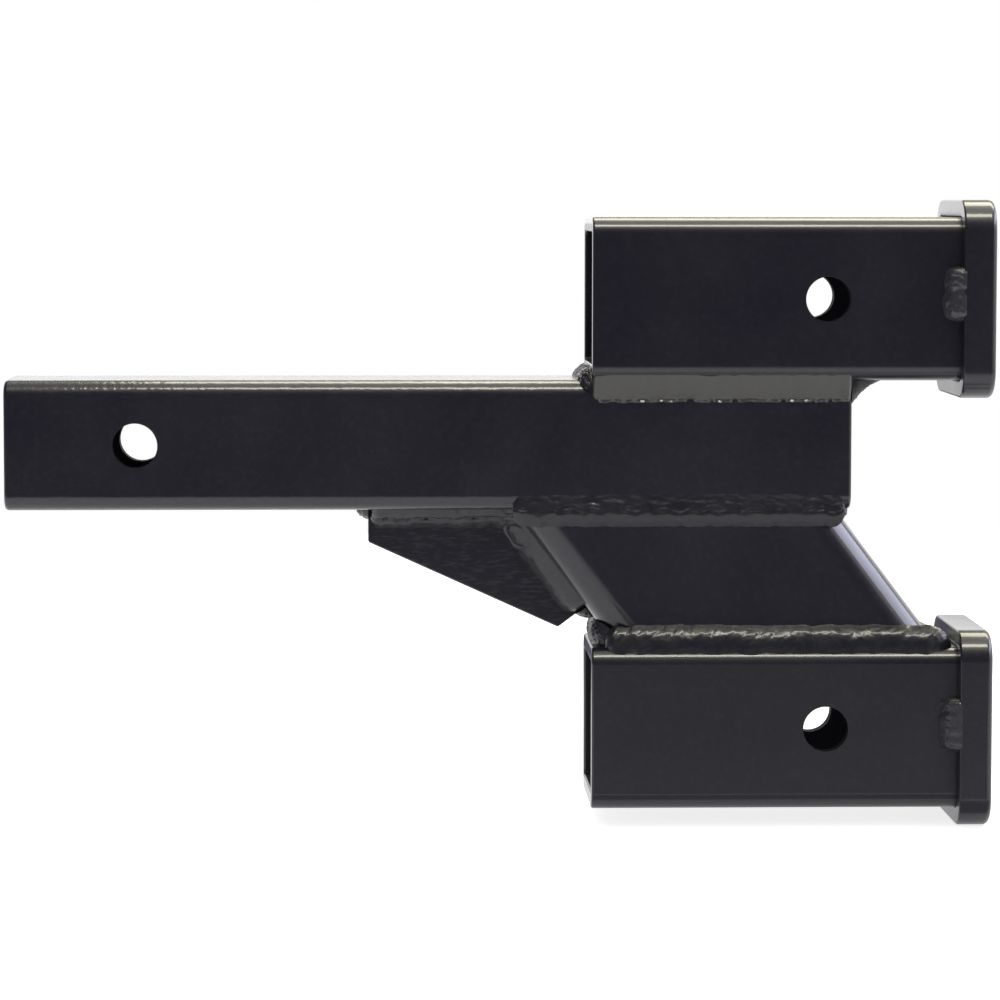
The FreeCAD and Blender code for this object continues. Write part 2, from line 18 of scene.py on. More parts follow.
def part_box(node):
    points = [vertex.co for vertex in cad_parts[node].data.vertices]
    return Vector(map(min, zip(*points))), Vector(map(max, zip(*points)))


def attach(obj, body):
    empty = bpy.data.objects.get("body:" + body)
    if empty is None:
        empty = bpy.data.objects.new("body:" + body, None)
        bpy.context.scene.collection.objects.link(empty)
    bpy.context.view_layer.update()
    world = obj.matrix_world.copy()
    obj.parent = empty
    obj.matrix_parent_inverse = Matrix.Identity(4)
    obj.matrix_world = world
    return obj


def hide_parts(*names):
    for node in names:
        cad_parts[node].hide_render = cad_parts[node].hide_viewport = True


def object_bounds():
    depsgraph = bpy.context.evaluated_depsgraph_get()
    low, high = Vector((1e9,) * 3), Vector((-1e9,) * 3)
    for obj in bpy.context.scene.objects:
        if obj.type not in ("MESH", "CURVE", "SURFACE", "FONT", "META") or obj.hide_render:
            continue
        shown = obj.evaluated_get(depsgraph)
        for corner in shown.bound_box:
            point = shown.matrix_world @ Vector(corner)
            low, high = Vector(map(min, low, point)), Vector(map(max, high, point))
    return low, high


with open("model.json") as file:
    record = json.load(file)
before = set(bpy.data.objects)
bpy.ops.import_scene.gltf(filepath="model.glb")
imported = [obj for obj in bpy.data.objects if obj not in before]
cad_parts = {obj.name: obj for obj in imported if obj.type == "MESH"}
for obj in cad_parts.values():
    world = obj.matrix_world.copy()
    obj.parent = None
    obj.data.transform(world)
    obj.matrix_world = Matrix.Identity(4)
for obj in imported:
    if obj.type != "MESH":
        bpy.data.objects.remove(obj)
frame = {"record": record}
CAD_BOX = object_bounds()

LOG = logging.getLogger("dual_hitch_receiver")
MM = 0.001
BODY = "root"
CREASE = math.radians(38)
MERGE = 1e-6
TOUCH = 2e-5
SINK = 4 * MM
QUARTER_TURN = math.pi / 2

# The drop tube's slope: DOWN runs along it and AWAY stands out of its front face.
LEAN = math.radians(53)
DOWN = Vector((math.cos(LEAN), 0, -math.sin(LEAN)))
AWAY = Vector((-math.sin(LEAN), 0, -math.cos(LEAN)))

# Pin drill, in metres.
DRILL_LENGTH = 0.3
DRILL_SEGMENTS = 72

# Powder coat: detail of its noise, and the noise values between which each pattern sets in.
CLOUD_DETAIL, PEEL_DETAIL, GRAIN_DETAIL = 3.0, 1.5, 2.0
CLOUD_SPREAD = (0.3, 0.7)
CREST_RISE = (0.5, 0.72)
SPECK_RIM = (0.03, 0.07)
SPECK_SHARE = 0.6

# Weld ripples: how far they drift from an even pitch, how they differ, and where they fade.
DRIFT_SHARE, DRIFT_PITCHES, DRIFT_LANE = 0.9, 3.1, 0.4
JITTER_STEP, JITTER_ACROSS = 7.31, 3.7
PATCH_MM, PATCH_LANE, PATCH_MEAN, PATCH_GAIN = 13.0, 8.2, 0.45, 1.6
DOME_MEAN = 0.78

# Weld face, in shares of the way across it.
EDGE_POWER = 6
CROWN_SWAY = 1.6
CALM_BAND = 0.1
NOTCH_SWAY, NOTCH_HALF, NOTCH_MEAN, NOTCH_SWING = 0.13, 0.07, 0.75, 0.5
LIP_AT, LIP_HALF, LIP_MEAN = 0.94, 0.045, 0.25
# Each layer of grain: its share of the height, how much finer it is, and its shift of the seed.
GRAIN_LAYERS = ((1.0, 1.0, 5.0), (0.6, 2.3, 9.0))

# Oval crater where an arc stopped: half its length in mm, half its width as a share.
CRATER_HALF = (5.6, 0.4)
CRATER_DEPTH, CRATER_RIM = 0.5, 0.17
CRATER_SWAY, CRATER_SWAY_MM, CRATER_ACROSS = 0.35, 5.0, 10.0

# Weld grid: fewest steps along a run, and the extra ones that its domed ends take.
LEAST_STEPS = 40
END_STEPS = 1.3


def linear(colour: str) -> tuple[float, float, float, float]:
    """Turns an sRGB hex colour to the linear values a shader takes, by the standard's own curve.

    Args:
        colour: Six hex digits after a hash sign.

    Returns:
        Red, green, blue and a full alpha.
    """
    parts = [int(colour[i:i + 2], 16) / 255 for i in (1, 3, 5)]
    red, green, blue = (c / 12.92 if c <= 0.04045 else ((c + 0.055) / 1.055) ** 2.4 for c in parts)
    return red, green, blue, 1.0


def add_node(tree: NodeTree, kind: str, inputs: dict[Any, Any] | None = None,
             **settings: Any) -> Any:
    """Adds one shader node, sets it up and links it.

    Args:
        tree: The node tree that takes it.
        kind: Blender's name for the node type, after ShaderNode.
        inputs: Socket name or number to a value, or to the output socket that feeds it.
        settings: Properties of the node itself.

    Returns:
        The new node.
    """
    made = tree.nodes.new("ShaderNode" + kind)
    for key, value in settings.items():
        setattr(made, key, value)
    for key, value in (inputs or {}).items():
        if isinstance(value, NodeSocket):
            tree.links.new(value, made.inputs[key])
        else:
            made.inputs[key].default_value = value
    return made


def blank_tree(owner: Material | World) -> NodeTree:
    """Gives a material or a world an empty node tree.

    Args:
        owner: What gets the tree.

    Returns:
        The tree.
    """
    owner.use_nodes = True
    owner.node_tree.nodes.clear()
    return owner.node_tree


@dataclass(frozen=True)
class PowderCoat:
    """Black polyester powder coat, sprayed dry and baked on steel.

    It gives the eye a near-black colour with a violet cast, a semi-gloss sheen, and the shallow
    waves of orange peel that break a bright edge into dashes. The real grain is finer than a pixel,
    so it is drawn as coarse as it needs to show.
    """

    name: str
    colour: str = "#201e29"
    deep: str = "#181620"
    dust: str = "#3d3c42"
    roughness: float = 0.4
    gleam: float = 0.5
    swing: float = 0.1
    skin: float = 0.7
    skin_roughness: float = 0.08
    peel_mm: float = 2.6
    peel_depth_mm: float = 0.012
    grain_mm: float = 0.7
    grain_depth_mm: float = 0.0025
    dust_mm: float = 5.0
    cloud_mm: float = 34.0
    streak: float = 1.0
    scuff: float = 0.15

    def material(self) -> Material:
        """Builds the coat's nodes.

        Returns:
            The finished material.
        """
        made = bpy.data.materials.new(self.name)
        tree = blank_tree(made)
        place = add_node(tree, "TexCoord").outputs["Object"]
        drawn = add_node(
            tree, "Mapping", {"Vector": place, "Scale": (1 / self.streak, 1, 1)},
        ).outputs["Vector"]
        cloud, peel, grain = (
            add_node(
                tree, "TexNoise",
                {"Vector": where, "Scale": 1 / (size * MM), "Detail": detail},
            ).outputs["Fac"]
            for where, size, detail in (
                (drawn, self.cloud_mm, CLOUD_DETAIL),
                (drawn, self.peel_mm, PEEL_DETAIL),
                (place, self.grain_mm, GRAIN_DETAIL),
            )
        )
        cells = add_node(
            tree, "TexVoronoi", {"Vector": place, "Scale": 1 / (self.dust_mm * MM)},
        ).outputs["Distance"]
        half = self.swing / 2
        speck, crest, gloss = (
            add_node(
                tree, "MapRange",
                {"Value": value, "From Min": low, "From Max": high, "To Min": first,
                 "To Max": last},
            ).outputs["Result"]
            for value, (low, high), first, last in (
                (cells, SPECK_RIM, SPECK_SHARE, 0.0),
                (peel, CREST_RISE, 0.0, self.scuff),
                (cloud, CLOUD_SPREAD, self.roughness - half, self.roughness + half),
            )
        )
        bare = add_node(
            tree, "Math", {0: speck, 1: crest}, operation="MAXIMUM",
        ).outputs[0]
        tint = add_node(
            tree, "Mix", {0: cloud, 6: linear(self.deep), 7: linear(self.colour)},
            data_type="RGBA",
        ).outputs[2]
        dusted = add_node(
            tree, "Mix", {0: bare, 6: tint, 7: linear(self.dust)}, data_type="RGBA",
        ).outputs[2]
        waves = add_node(
            tree, "Bump",
            {"Height": peel, "Distance": self.peel_depth_mm * MM, "Strength": 1.0},
        ).outputs["Normal"]
        relief = add_node(
            tree, "Bump",
            {"Height": grain, "Distance": self.grain_depth_mm * MM, "Strength": 1.0,
             "Normal": waves},
        ).outputs["Normal"]
        coat = add_node(
            tree, "BsdfPrincipled",
            {"Base Color": dusted, "Roughness": gloss, "Normal": relief,
             "Specular IOR Level": self.gleam, "Coat Weight": self.skin,
             "Coat Roughness": self.skin_roughness, "Coat Normal": relief},
        )
        add_node(tree, "OutputMaterial", {"Surface": coat.outputs["BSDF"]})
        return made


class Coat(Enum):
    """The coats on this object, by the steel beneath them."""

    # Drawn tube sprayed evenly: long calm reflections with faint waves.
    TUBE = PowderCoat("powder_coat_on_tube")
    # The shank took a thicker coat: coarse orange peel that breaks the top highlight into dashes.
    SHANK = PowderCoat("powder_coat_on_shank", peel_mm=2.2, peel_depth_mm=0.08)
    # Flame-cut plate: faint level streaks under the coat.
    PLATE = PowderCoat(
        "powder_coat_on_plate", colour="#201f24", dust="#4a4a52", streak=5.0, peel_mm=0.9,
        peel_depth_mm=0.03, scuff=0.5,
    )
    # Little powder reaches a drilled hole's walls: a dry, dull black with no gloss at a low angle.
    BORE = PowderCoat(
        "dry_powder_coat_in_bore", colour="#17161b", deep="#121116", roughness=0.8, gleam=0.08,
        skin=0.0,
    )
    # Broad smooth runs: paler and greyer than the tubes, with an even sheen.
    # The pale colour is painted reflection: it stands in for the bright floor that these
    # down-facing faces mirror.
    THIN = PowderCoat(
        "thin_powder_coat_on_weld", colour="#4a4a44", deep="#403f3b", dust="#51514c", peel_mm=1.8,
        peel_depth_mm=0.03, dust_mm=2.6, cloud_mm=7.0, skin_roughness=0.14,
    )
    # Short stitches took a thinnish coat: a little paler than the tubes, with small glints.
    DULL = PowderCoat(
        "dull_powder_coat_on_weld", colour="#3f3e44", deep="#35343a", dust="#4d4c50", peel_mm=1.6,
        peel_depth_mm=0.04, dust_mm=2.6, cloud_mm=6.0, skin_roughness=0.12,
    )
    # Fused weld metal under paint: grit shows through, so the sheen is duller and broken.
    WELD = PowderCoat(
        "powder_coat_on_weld", colour="#26242b", roughness=0.42, swing=0.14, peel_mm=1.6,
        peel_depth_mm=0.04, grain_mm=0.5, grain_depth_mm=0.01, dust_mm=3.2, cloud_mm=9.0, skin=0.5,
        skin_roughness=0.18,
    )


Coats = dict[Coat, Material]


@dataclass(frozen=True)
class Bead:
    """How the face of a weld run lies, in millimetres and shares of the face.

    pitch and height give the ripples, slant leans them along the run, bow curves them and jitter
    makes them uneven. grain and grain_size give the fine roughness. wander moves the toes in and
    out, lip is a raised lower edge, peak is where across the face it stands highest, bulge rounds
    the crown, stretch draws the grain out along the run, sway moves the crown about, groove is the
    notch between two passes, patch lets the ripples fade in places, and calm is the share of ripple
    and grain that the face past the crown lacks.
    """

    pitch: float
    height: float
    slant: float
    bow: float
    jitter: float
    grain: float
    grain_size: float
    wander: float
    lip: float = 0.0
    peak: float = 0.5
    bulge: float = 1.7
    stretch: float = 1.0
    sway: float = 0.0
    groove: float = 0.0
    patch: float = 0.0
    calm: float = 0.0


class BeadStyle(Enum):
    """The kinds of bead seen on the object."""

    SMOOTH = Bead(5.0, 0.03, 2.0, 1.5, 0.5, 0.03, 1.4, 0.55, lip=1.5)
    FILLET = Bead(4.6, 0.12, 1.5, 2.0, 0.7, 0.08, 1.5, 0.7)
    TWO_PASS = Bead(4.6, 0.1, 1.5, 2.0, 0.7, 0.1, 1.5, 0.7, stretch=2.0, groove=1.3)
    ROUGH = Bead(
        5.6, 0.08, -2.0, 3.0, 0.7, 0.24, 1.5, 0.7, peak=0.56, bulge=1.3, stretch=2.5, groove=0.25,
        calm=0.85,
    )
    RIPPLED = Bead(
        5.0, 0.42, 12.0, 1.2, 0.9, 0.16, 2.2, 0.7, peak=0.42, bulge=1.8, stretch=1.3, sway=0.15,
        patch=0.8, calm=0.5,
    )
    LUMPY = Bead(4.2, 0.6, 1.0, 2.6, 0.7, 0.42, 1.2, 0.8)
    STITCH = Bead(3.6, 0.24, 0.0, 2.4, 0.5, 0.24, 1.6, 0.9, bulge=1.4)
    RING = Bead(3.0, 0.22, 0.0, 1.2, 0.5, 0.06, 1.0, 0.25)


class Drift(Enum):
    """The slow changes along a run: their spacing in millimetres and their shift of the seed."""

    TOE_A = (4.3, 0.0)
    TOE_B = (3.7, 11.0)
    LIP = (2.9, 17.0)
    CROWN_PLACE = (9.0, 21.0)
    CROWN_HEIGHT = (6.0, 25.0)
    NOTCH_PLACE = (5.0, 29.0)
    NOTCH_DEPTH = (3.1, 33.0)


def wavy(place: Vector, grain_size: float, seed: float) -> float:
    """Gives smooth noise at a place.

    Args:
        place: Where, in millimetres.
        grain_size: Spacing of the swells in millimetres.
        seed: Moves the pattern to another part of the noise.

    Returns:
        A value from about minus one to one.
    """
    return noise.noise(place / grain_size + Vector((seed, 2.3 * seed, -1.7 * seed)))


def hump(off: float, half: float) -> float:
    """Gives the height of a smooth hump of one, at a distance off its middle."""
    return math.exp(-(off / half) ** 2)


def clamp(value: float) -> float:
    """Keeps a value from zero to one."""
    return min(1.0, max(0.0, value))


def link_object(name: str, data: Any) -> Object:
    """Adds an object to the scene.

    Args:
        name: Its name.
        data: Its mesh, lamp or camera.

    Returns:
        The object.
    """
    item = bpy.data.objects.new(name, data)
    bpy.context.scene.collection.objects.link(item)
    return item


def mesh_object(bm: BMesh, name: str) -> Object:
    """Turns a modelled shape to an object in the scene.

    Args:
        bm: The shape. It is freed.
        name: Its name.

    Returns:
        The object.
    """
    mesh = bpy.data.meshes.new(name)
    bm.to_mesh(mesh)
    bm.free()
    return link_object(name, mesh)


def finish_piece(bm: BMesh, node: str, worn: list[Material],
                 level: bool) -> Object:
    """Makes a modelled shape into a finished piece of the object.

    Args:
        bm: The closed shape in metres, in place. It is freed.
        node: The CAD node it stands for.
        worn: The materials it wears, by the faces' material numbers.
        level: True where large flats meet tight rounds and want weighted normals.

    Returns:
        The piece.
    """
    ops.remove_doubles(bm, verts=bm.verts, dist=MERGE)
    ops.recalc_face_normals(bm, faces=bm.faces)
    for face in bm.faces:
        face.smooth = True
    for edge in bm.edges:
        edge.smooth = len(edge.link_faces) == 2 and edge.calc_face_angle(0.0) < CREASE
    piece = mesh_object(bm, node + "_skin")
    for coat in worn:
        piece.data.materials.append(coat)
    if level:
        weighted = piece.modifiers.new("flats_stay_flat", "WEIGHTED_NORMAL")
        weighted.keep_sharp = True
    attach(piece, BODY)
    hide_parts(node)
    LOG.info("%s: %d faces", piece.name, len(piece.data.polygons))
    return piece


def round_edges(bm: BMesh, edges: list[BMEdge], offset: float, segments: int) -> None:
    """Rounds edges of a shape.

    Args:
        bm: The shape.
        edges: The edges to round.
        offset: Width of the rounding along each face.
        segments: Facets in it.
    """
    ops.bevel(
        bm, geom=edges, offset=offset, segments=segments, profile=0.5, affect="EDGES", material=-1,
    )


def rounded_bar(bm: BMesh, size: Vector, corner: float, segments: int) -> list[BMEdge]:
    """Adds an open-ended bar along X with rounded long edges, centred on the origin.

    Args:
        bm: The shape that takes it.
        size: Length, width and height in metres.
        corner: Radius of the long edges.
        segments: Facets in each rounded edge.

    Returns:
        The edges of the two open ends.
    """
    before = set(bm.edges)
    block = ops.create_cube(bm, size=1.0, matrix=Matrix.Diagonal(size).to_4x4())
    faces = {f for v in block["verts"] for f in v.link_faces}
    ends = [f for f in faces if abs(f.calc_center_median().x) > size.x / 4]
    ops.delete(bm, geom=ends, context="FACES_ONLY")
    edges = {e for v in block["verts"] for e in v.link_edges}
    long_edges = [e for e in edges if abs(e.verts[0].co.x - e.verts[1].co.x) > size.x / 2]
    round_edges(bm, long_edges, corner, segments)
    return [e for e in bm.edges if e.is_boundary and e not in before]


def ring_bar(bm: BMesh, size: Vector, corner: float, bore: float, bore_corner: float,
             segments: int) -> tuple[list[BMEdge], list[BMEdge]]:
    """Adds a closed tube along X with a square bore, centred on the origin.

    Args:
        bm: The shape that takes it.
        size: Length, width and height in metres.
        corner: Radius of the long outer edges.
        bore: Width of the bore.
        bore_corner: Radius of the long inner edges.
        segments: Facets in each rounded edge.

    Returns:
        The outer and the inner rim edges.
    """
    outer = rounded_bar(bm, size, corner, segments)
    inner = rounded_bar(bm, Vector((size.x - 2 * SINK, bore, bore)), bore_corner, segments)
    for end in (-1, 1):
        ops.bridge_loops(bm, edges=[e for e in outer + inner if e.verts[0].co.x * end > 0])
        rim = {v for e in inner for v in e.verts if v.co.x * end > 0}
        ops.translate(bm, verts=list(rim), vec=Vector((end * SINK, 0, 0)))
    ops.recalc_face_normals(bm, faces=bm.faces)
    return outer, inner


def cut_round_hole(bm: BMesh, centre: Vector, radius: float, rim: float) -> BMesh:
    """Drills a round hole through both walls across Y and eases its rims.

    Args:
        bm: The tube, in place. It is freed.
        centre: A point on the hole's axis.
        radius: The hole's radius.
        rim: Width of the eased rim.

    Returns:
        The drilled tube, whose hole walls have material number one.
    """
    drill = bmesh.new()
    ops.create_cone(
        drill, cap_ends=True, segments=DRILL_SEGMENTS, radius1=radius, radius2=radius,
        depth=DRILL_LENGTH,
    )
    ops.rotate(drill, verts=drill.verts, matrix=Matrix.Rotation(QUARTER_TURN, 3, "X"))
    ops.translate(drill, verts=drill.verts, vec=centre)
    for shape in (bm, drill):
        ops.recalc_face_normals(shape, faces=shape.faces)
    stock = [mesh_object(bm, "tube_stock"), mesh_object(drill, "pin_drill")]
    cut = stock[0].modifiers.new("pin_hole", "BOOLEAN")
    cut.object = stock[1]
    cut.operation = "DIFFERENCE"
    cut.solver = "EXACT"
    drilled = bmesh.new()
    drilled.from_object(stock[0], bpy.context.evaluated_depsgraph_get())
    for item in stock:
        mesh = item.data
        bpy.data.objects.remove(item)
        bpy.data.meshes.remove(mesh)
    ops.remove_doubles(drilled, verts=drilled.verts, dist=MERGE)

    def on_wall(vert: BMVert) -> bool:
        """Says whether a vertex lies on the hole's wall."""
        off = math.hypot(vert.co.x - centre.x, vert.co.z - centre.z)
        return abs(off - radius) < TOUCH

    rims = [
        e for e in drilled.edges
        if all(on_wall(v) for v in e.verts) and abs(e.verts[0].co.y - e.verts[1].co.y) < TOUCH
    ]
    round_edges(drilled, rims, rim, 2)
    for face in drilled.faces:
        face.material_index = int(all(on_wall(v) for v in face.verts))
    return drilled


def middle(node: str) -> tuple[Vector, Vector]:
    """Gives a CAD node's centre and size in metres."""
    low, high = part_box(node)
    return (low + high) / 2, high - low


@dataclass
class SteelPart:
    """A cut piece of steel that stands for one CAD node. Sizes are in metres."""

    node: str
    coat: Coat

    def build(self) -> BMesh:
        """Models the piece, which each kind does in its own way."""
        raise NotImplementedError

    def worn(self) -> list[Coat]:
        """Lists the piece's coats by the faces' material numbers."""
        return [self.coat]

    def dress(self, coats: Coats) -> Object:
        """Finishes the piece in its coats and returns it."""
        return finish_piece(self.build(), self.node, [coats[c] for c in self.worn()], True)


@dataclass
class SquareTube(SteelPart):
    """A length of square steel tube with sawn, eased ends and a cross hole for a pin."""

    bore: float
    corner: float
    pin: str
    bore_corner: float = 1.6 * MM
    rim: float = 0.9 * MM
    hole_rim: float = 0.2 * MM
    segments: int = 10
    rim_segments: int = 3

    def build(self) -> BMesh:
        """Models the tube.

        Returns:
            The closed shape in place.
        """
        centre, size = middle(self.node)
        bm = bmesh.new()
        outer, inner = ring_bar(
            bm, size, self.corner, self.bore, self.bore_corner, self.segments,
        )
        round_edges(bm, outer + inner, self.rim, self.rim_segments)
        ops.translate(bm, verts=bm.verts, vec=centre)
        mount = next(m for m in frame["record"]["mounts"] if m["name"] == self.pin)
        radius = mount["dims"]["r_mm"] * MM
        return cut_round_hole(bm, Vector(mount["pos_m"]), radius, self.hole_rim)

    def worn(self) -> list[Coat]:
        """Lists the tube's coat and that of its hole's walls."""
        return [self.coat, Coat.BORE]


@dataclass
class DropTube(SteelPart):
    """The rectangular tube that leans from the shank to the lower receiver, sawn level."""

    width: float = 101.6 * MM
    depth: float = 50.8 * MM
    wall: float = 6.35 * MM
    corner: float = 12.0 * MM
    stock_length: float = 0.3
    segments: int = 14

    def build(self) -> BMesh:
        """Models the tube upright, leans it and saws it level.

        Returns:
            The closed shape in place.
        """
        centre, size = middle(self.node)
        bm = bmesh.new()
        turn = Matrix.Rotation(LEAN, 3, "Y")
        thick = 2 * self.wall
        walls = (
            (Vector((self.stock_length, self.depth, self.width)), self.corner, 0.0),
            (Vector((self.stock_length, self.depth - thick, self.width - thick)),
             self.corner - self.wall, SINK),
        )
        for stock, corner, sunk in walls:
            old_faces, old_verts = set(bm.faces), set(bm.verts)
            rounded_bar(bm, stock, corner, self.segments)
            fresh = [v for v in bm.verts if v not in old_verts]
            ops.rotate(bm, verts=fresh, matrix=turn)
            ops.translate(bm, verts=fresh, vec=centre)
            for side in (-1, 1):
                faces = [f for f in bm.faces if f not in old_faces]
                geom = {g for f in faces for g in (f, *f.edges, *f.verts)}
                ops.bisect_plane(
                    bm, geom=list(geom), dist=MERGE, clear_outer=True,
                    plane_co=centre + Vector((0, 0, side * (size.z / 2 - sunk))),
                    plane_no=Vector((0, 0, side)),
                )
        for side in (-1, 1):
            sawn = [
                e for e in bm.edges
                if e.is_boundary and (e.verts[0].co.z - centre.z) * side > 0
            ]
            ops.bridge_loops(bm, edges=sawn)
            low = [
                v for v in bm.verts
                if abs((v.co.z - centre.z) * side - size.z / 2 + SINK) < TOUCH
            ]
            slope = turn @ Vector((-side * SINK / math.sin(LEAN), 0, 0))
            ops.translate(bm, verts=low, vec=slope)
        return bm


@dataclass
class Collar(SteelPart):
    """The flat-bar ring that stiffens a receiver's mouth."""

    bore: float = 63.9 * MM
    corner: float = 12.0 * MM
    bore_corner: float = 6.7 * MM
    mouth_round: float = 2.4 * MM
    mouth_segments: int = 6
    back_round: float = 0.9 * MM
    back_segments: int = 3
    segments: int = 10

    def build(self) -> BMesh:
        """Models the ring.

        Returns:
            The closed shape in place.
        """
        centre, size = middle(self.node)
        bm = bmesh.new()
        outer, inner = ring_bar(
            bm, size, self.corner, self.bore, self.bore_corner, self.segments,
        )
        mouth = [e for e in outer if e.verts[0].co.x > 0]
        eased = [e for e in outer if e.verts[0].co.x < 0] + inner
        round_edges(bm, mouth, self.mouth_round, self.mouth_segments)
        still = [e for e in eased if e.is_valid]
        round_edges(bm, still, self.back_round, self.back_segments)
        ops.translate(bm, verts=bm.verts, vec=centre)
        return bm


@dataclass
class Gusset(SteelPart):
    """The flat plate in the corner between the shank's underside and the drop tube."""

    nose: float = 14.0 * MM
    rise: float = 49.5 * MM
    clip: float = 8.0 * MM
    edge: float = 0.7 * MM

    def build(self) -> BMesh:
        """Models the plate from its outline.

        Returns:
            The closed shape in place.
        """
        low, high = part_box(self.node)
        corner = Vector((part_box("drop_tube")[0].x, low.y, high.z))
        front = Vector((low.x, low.y, high.z))
        foot = corner + DOWN * self.rise
        outline = [
            front, corner - Vector((self.clip, 0, 0)), corner + DOWN * self.clip, foot,
            foot + AWAY * self.nose, Vector((low.x, low.y, high.z - self.nose)),
        ]
        bm = bmesh.new()
        plate = bm.faces.new([bm.verts.new(p) for p in outline])
        grown = ops.extrude_face_region(bm, geom=[plate], use_keep_orig=True)
        far = [g for g in grown["geom"] if isinstance(g, BMVert)]
        ops.translate(bm, verts=far, vec=Vector((0, high.y - low.y, 0)))
        ops.recalc_face_normals(bm, faces=bm.faces)
        round_edges(bm, list(bm.edges), self.edge, 2)
        return bm


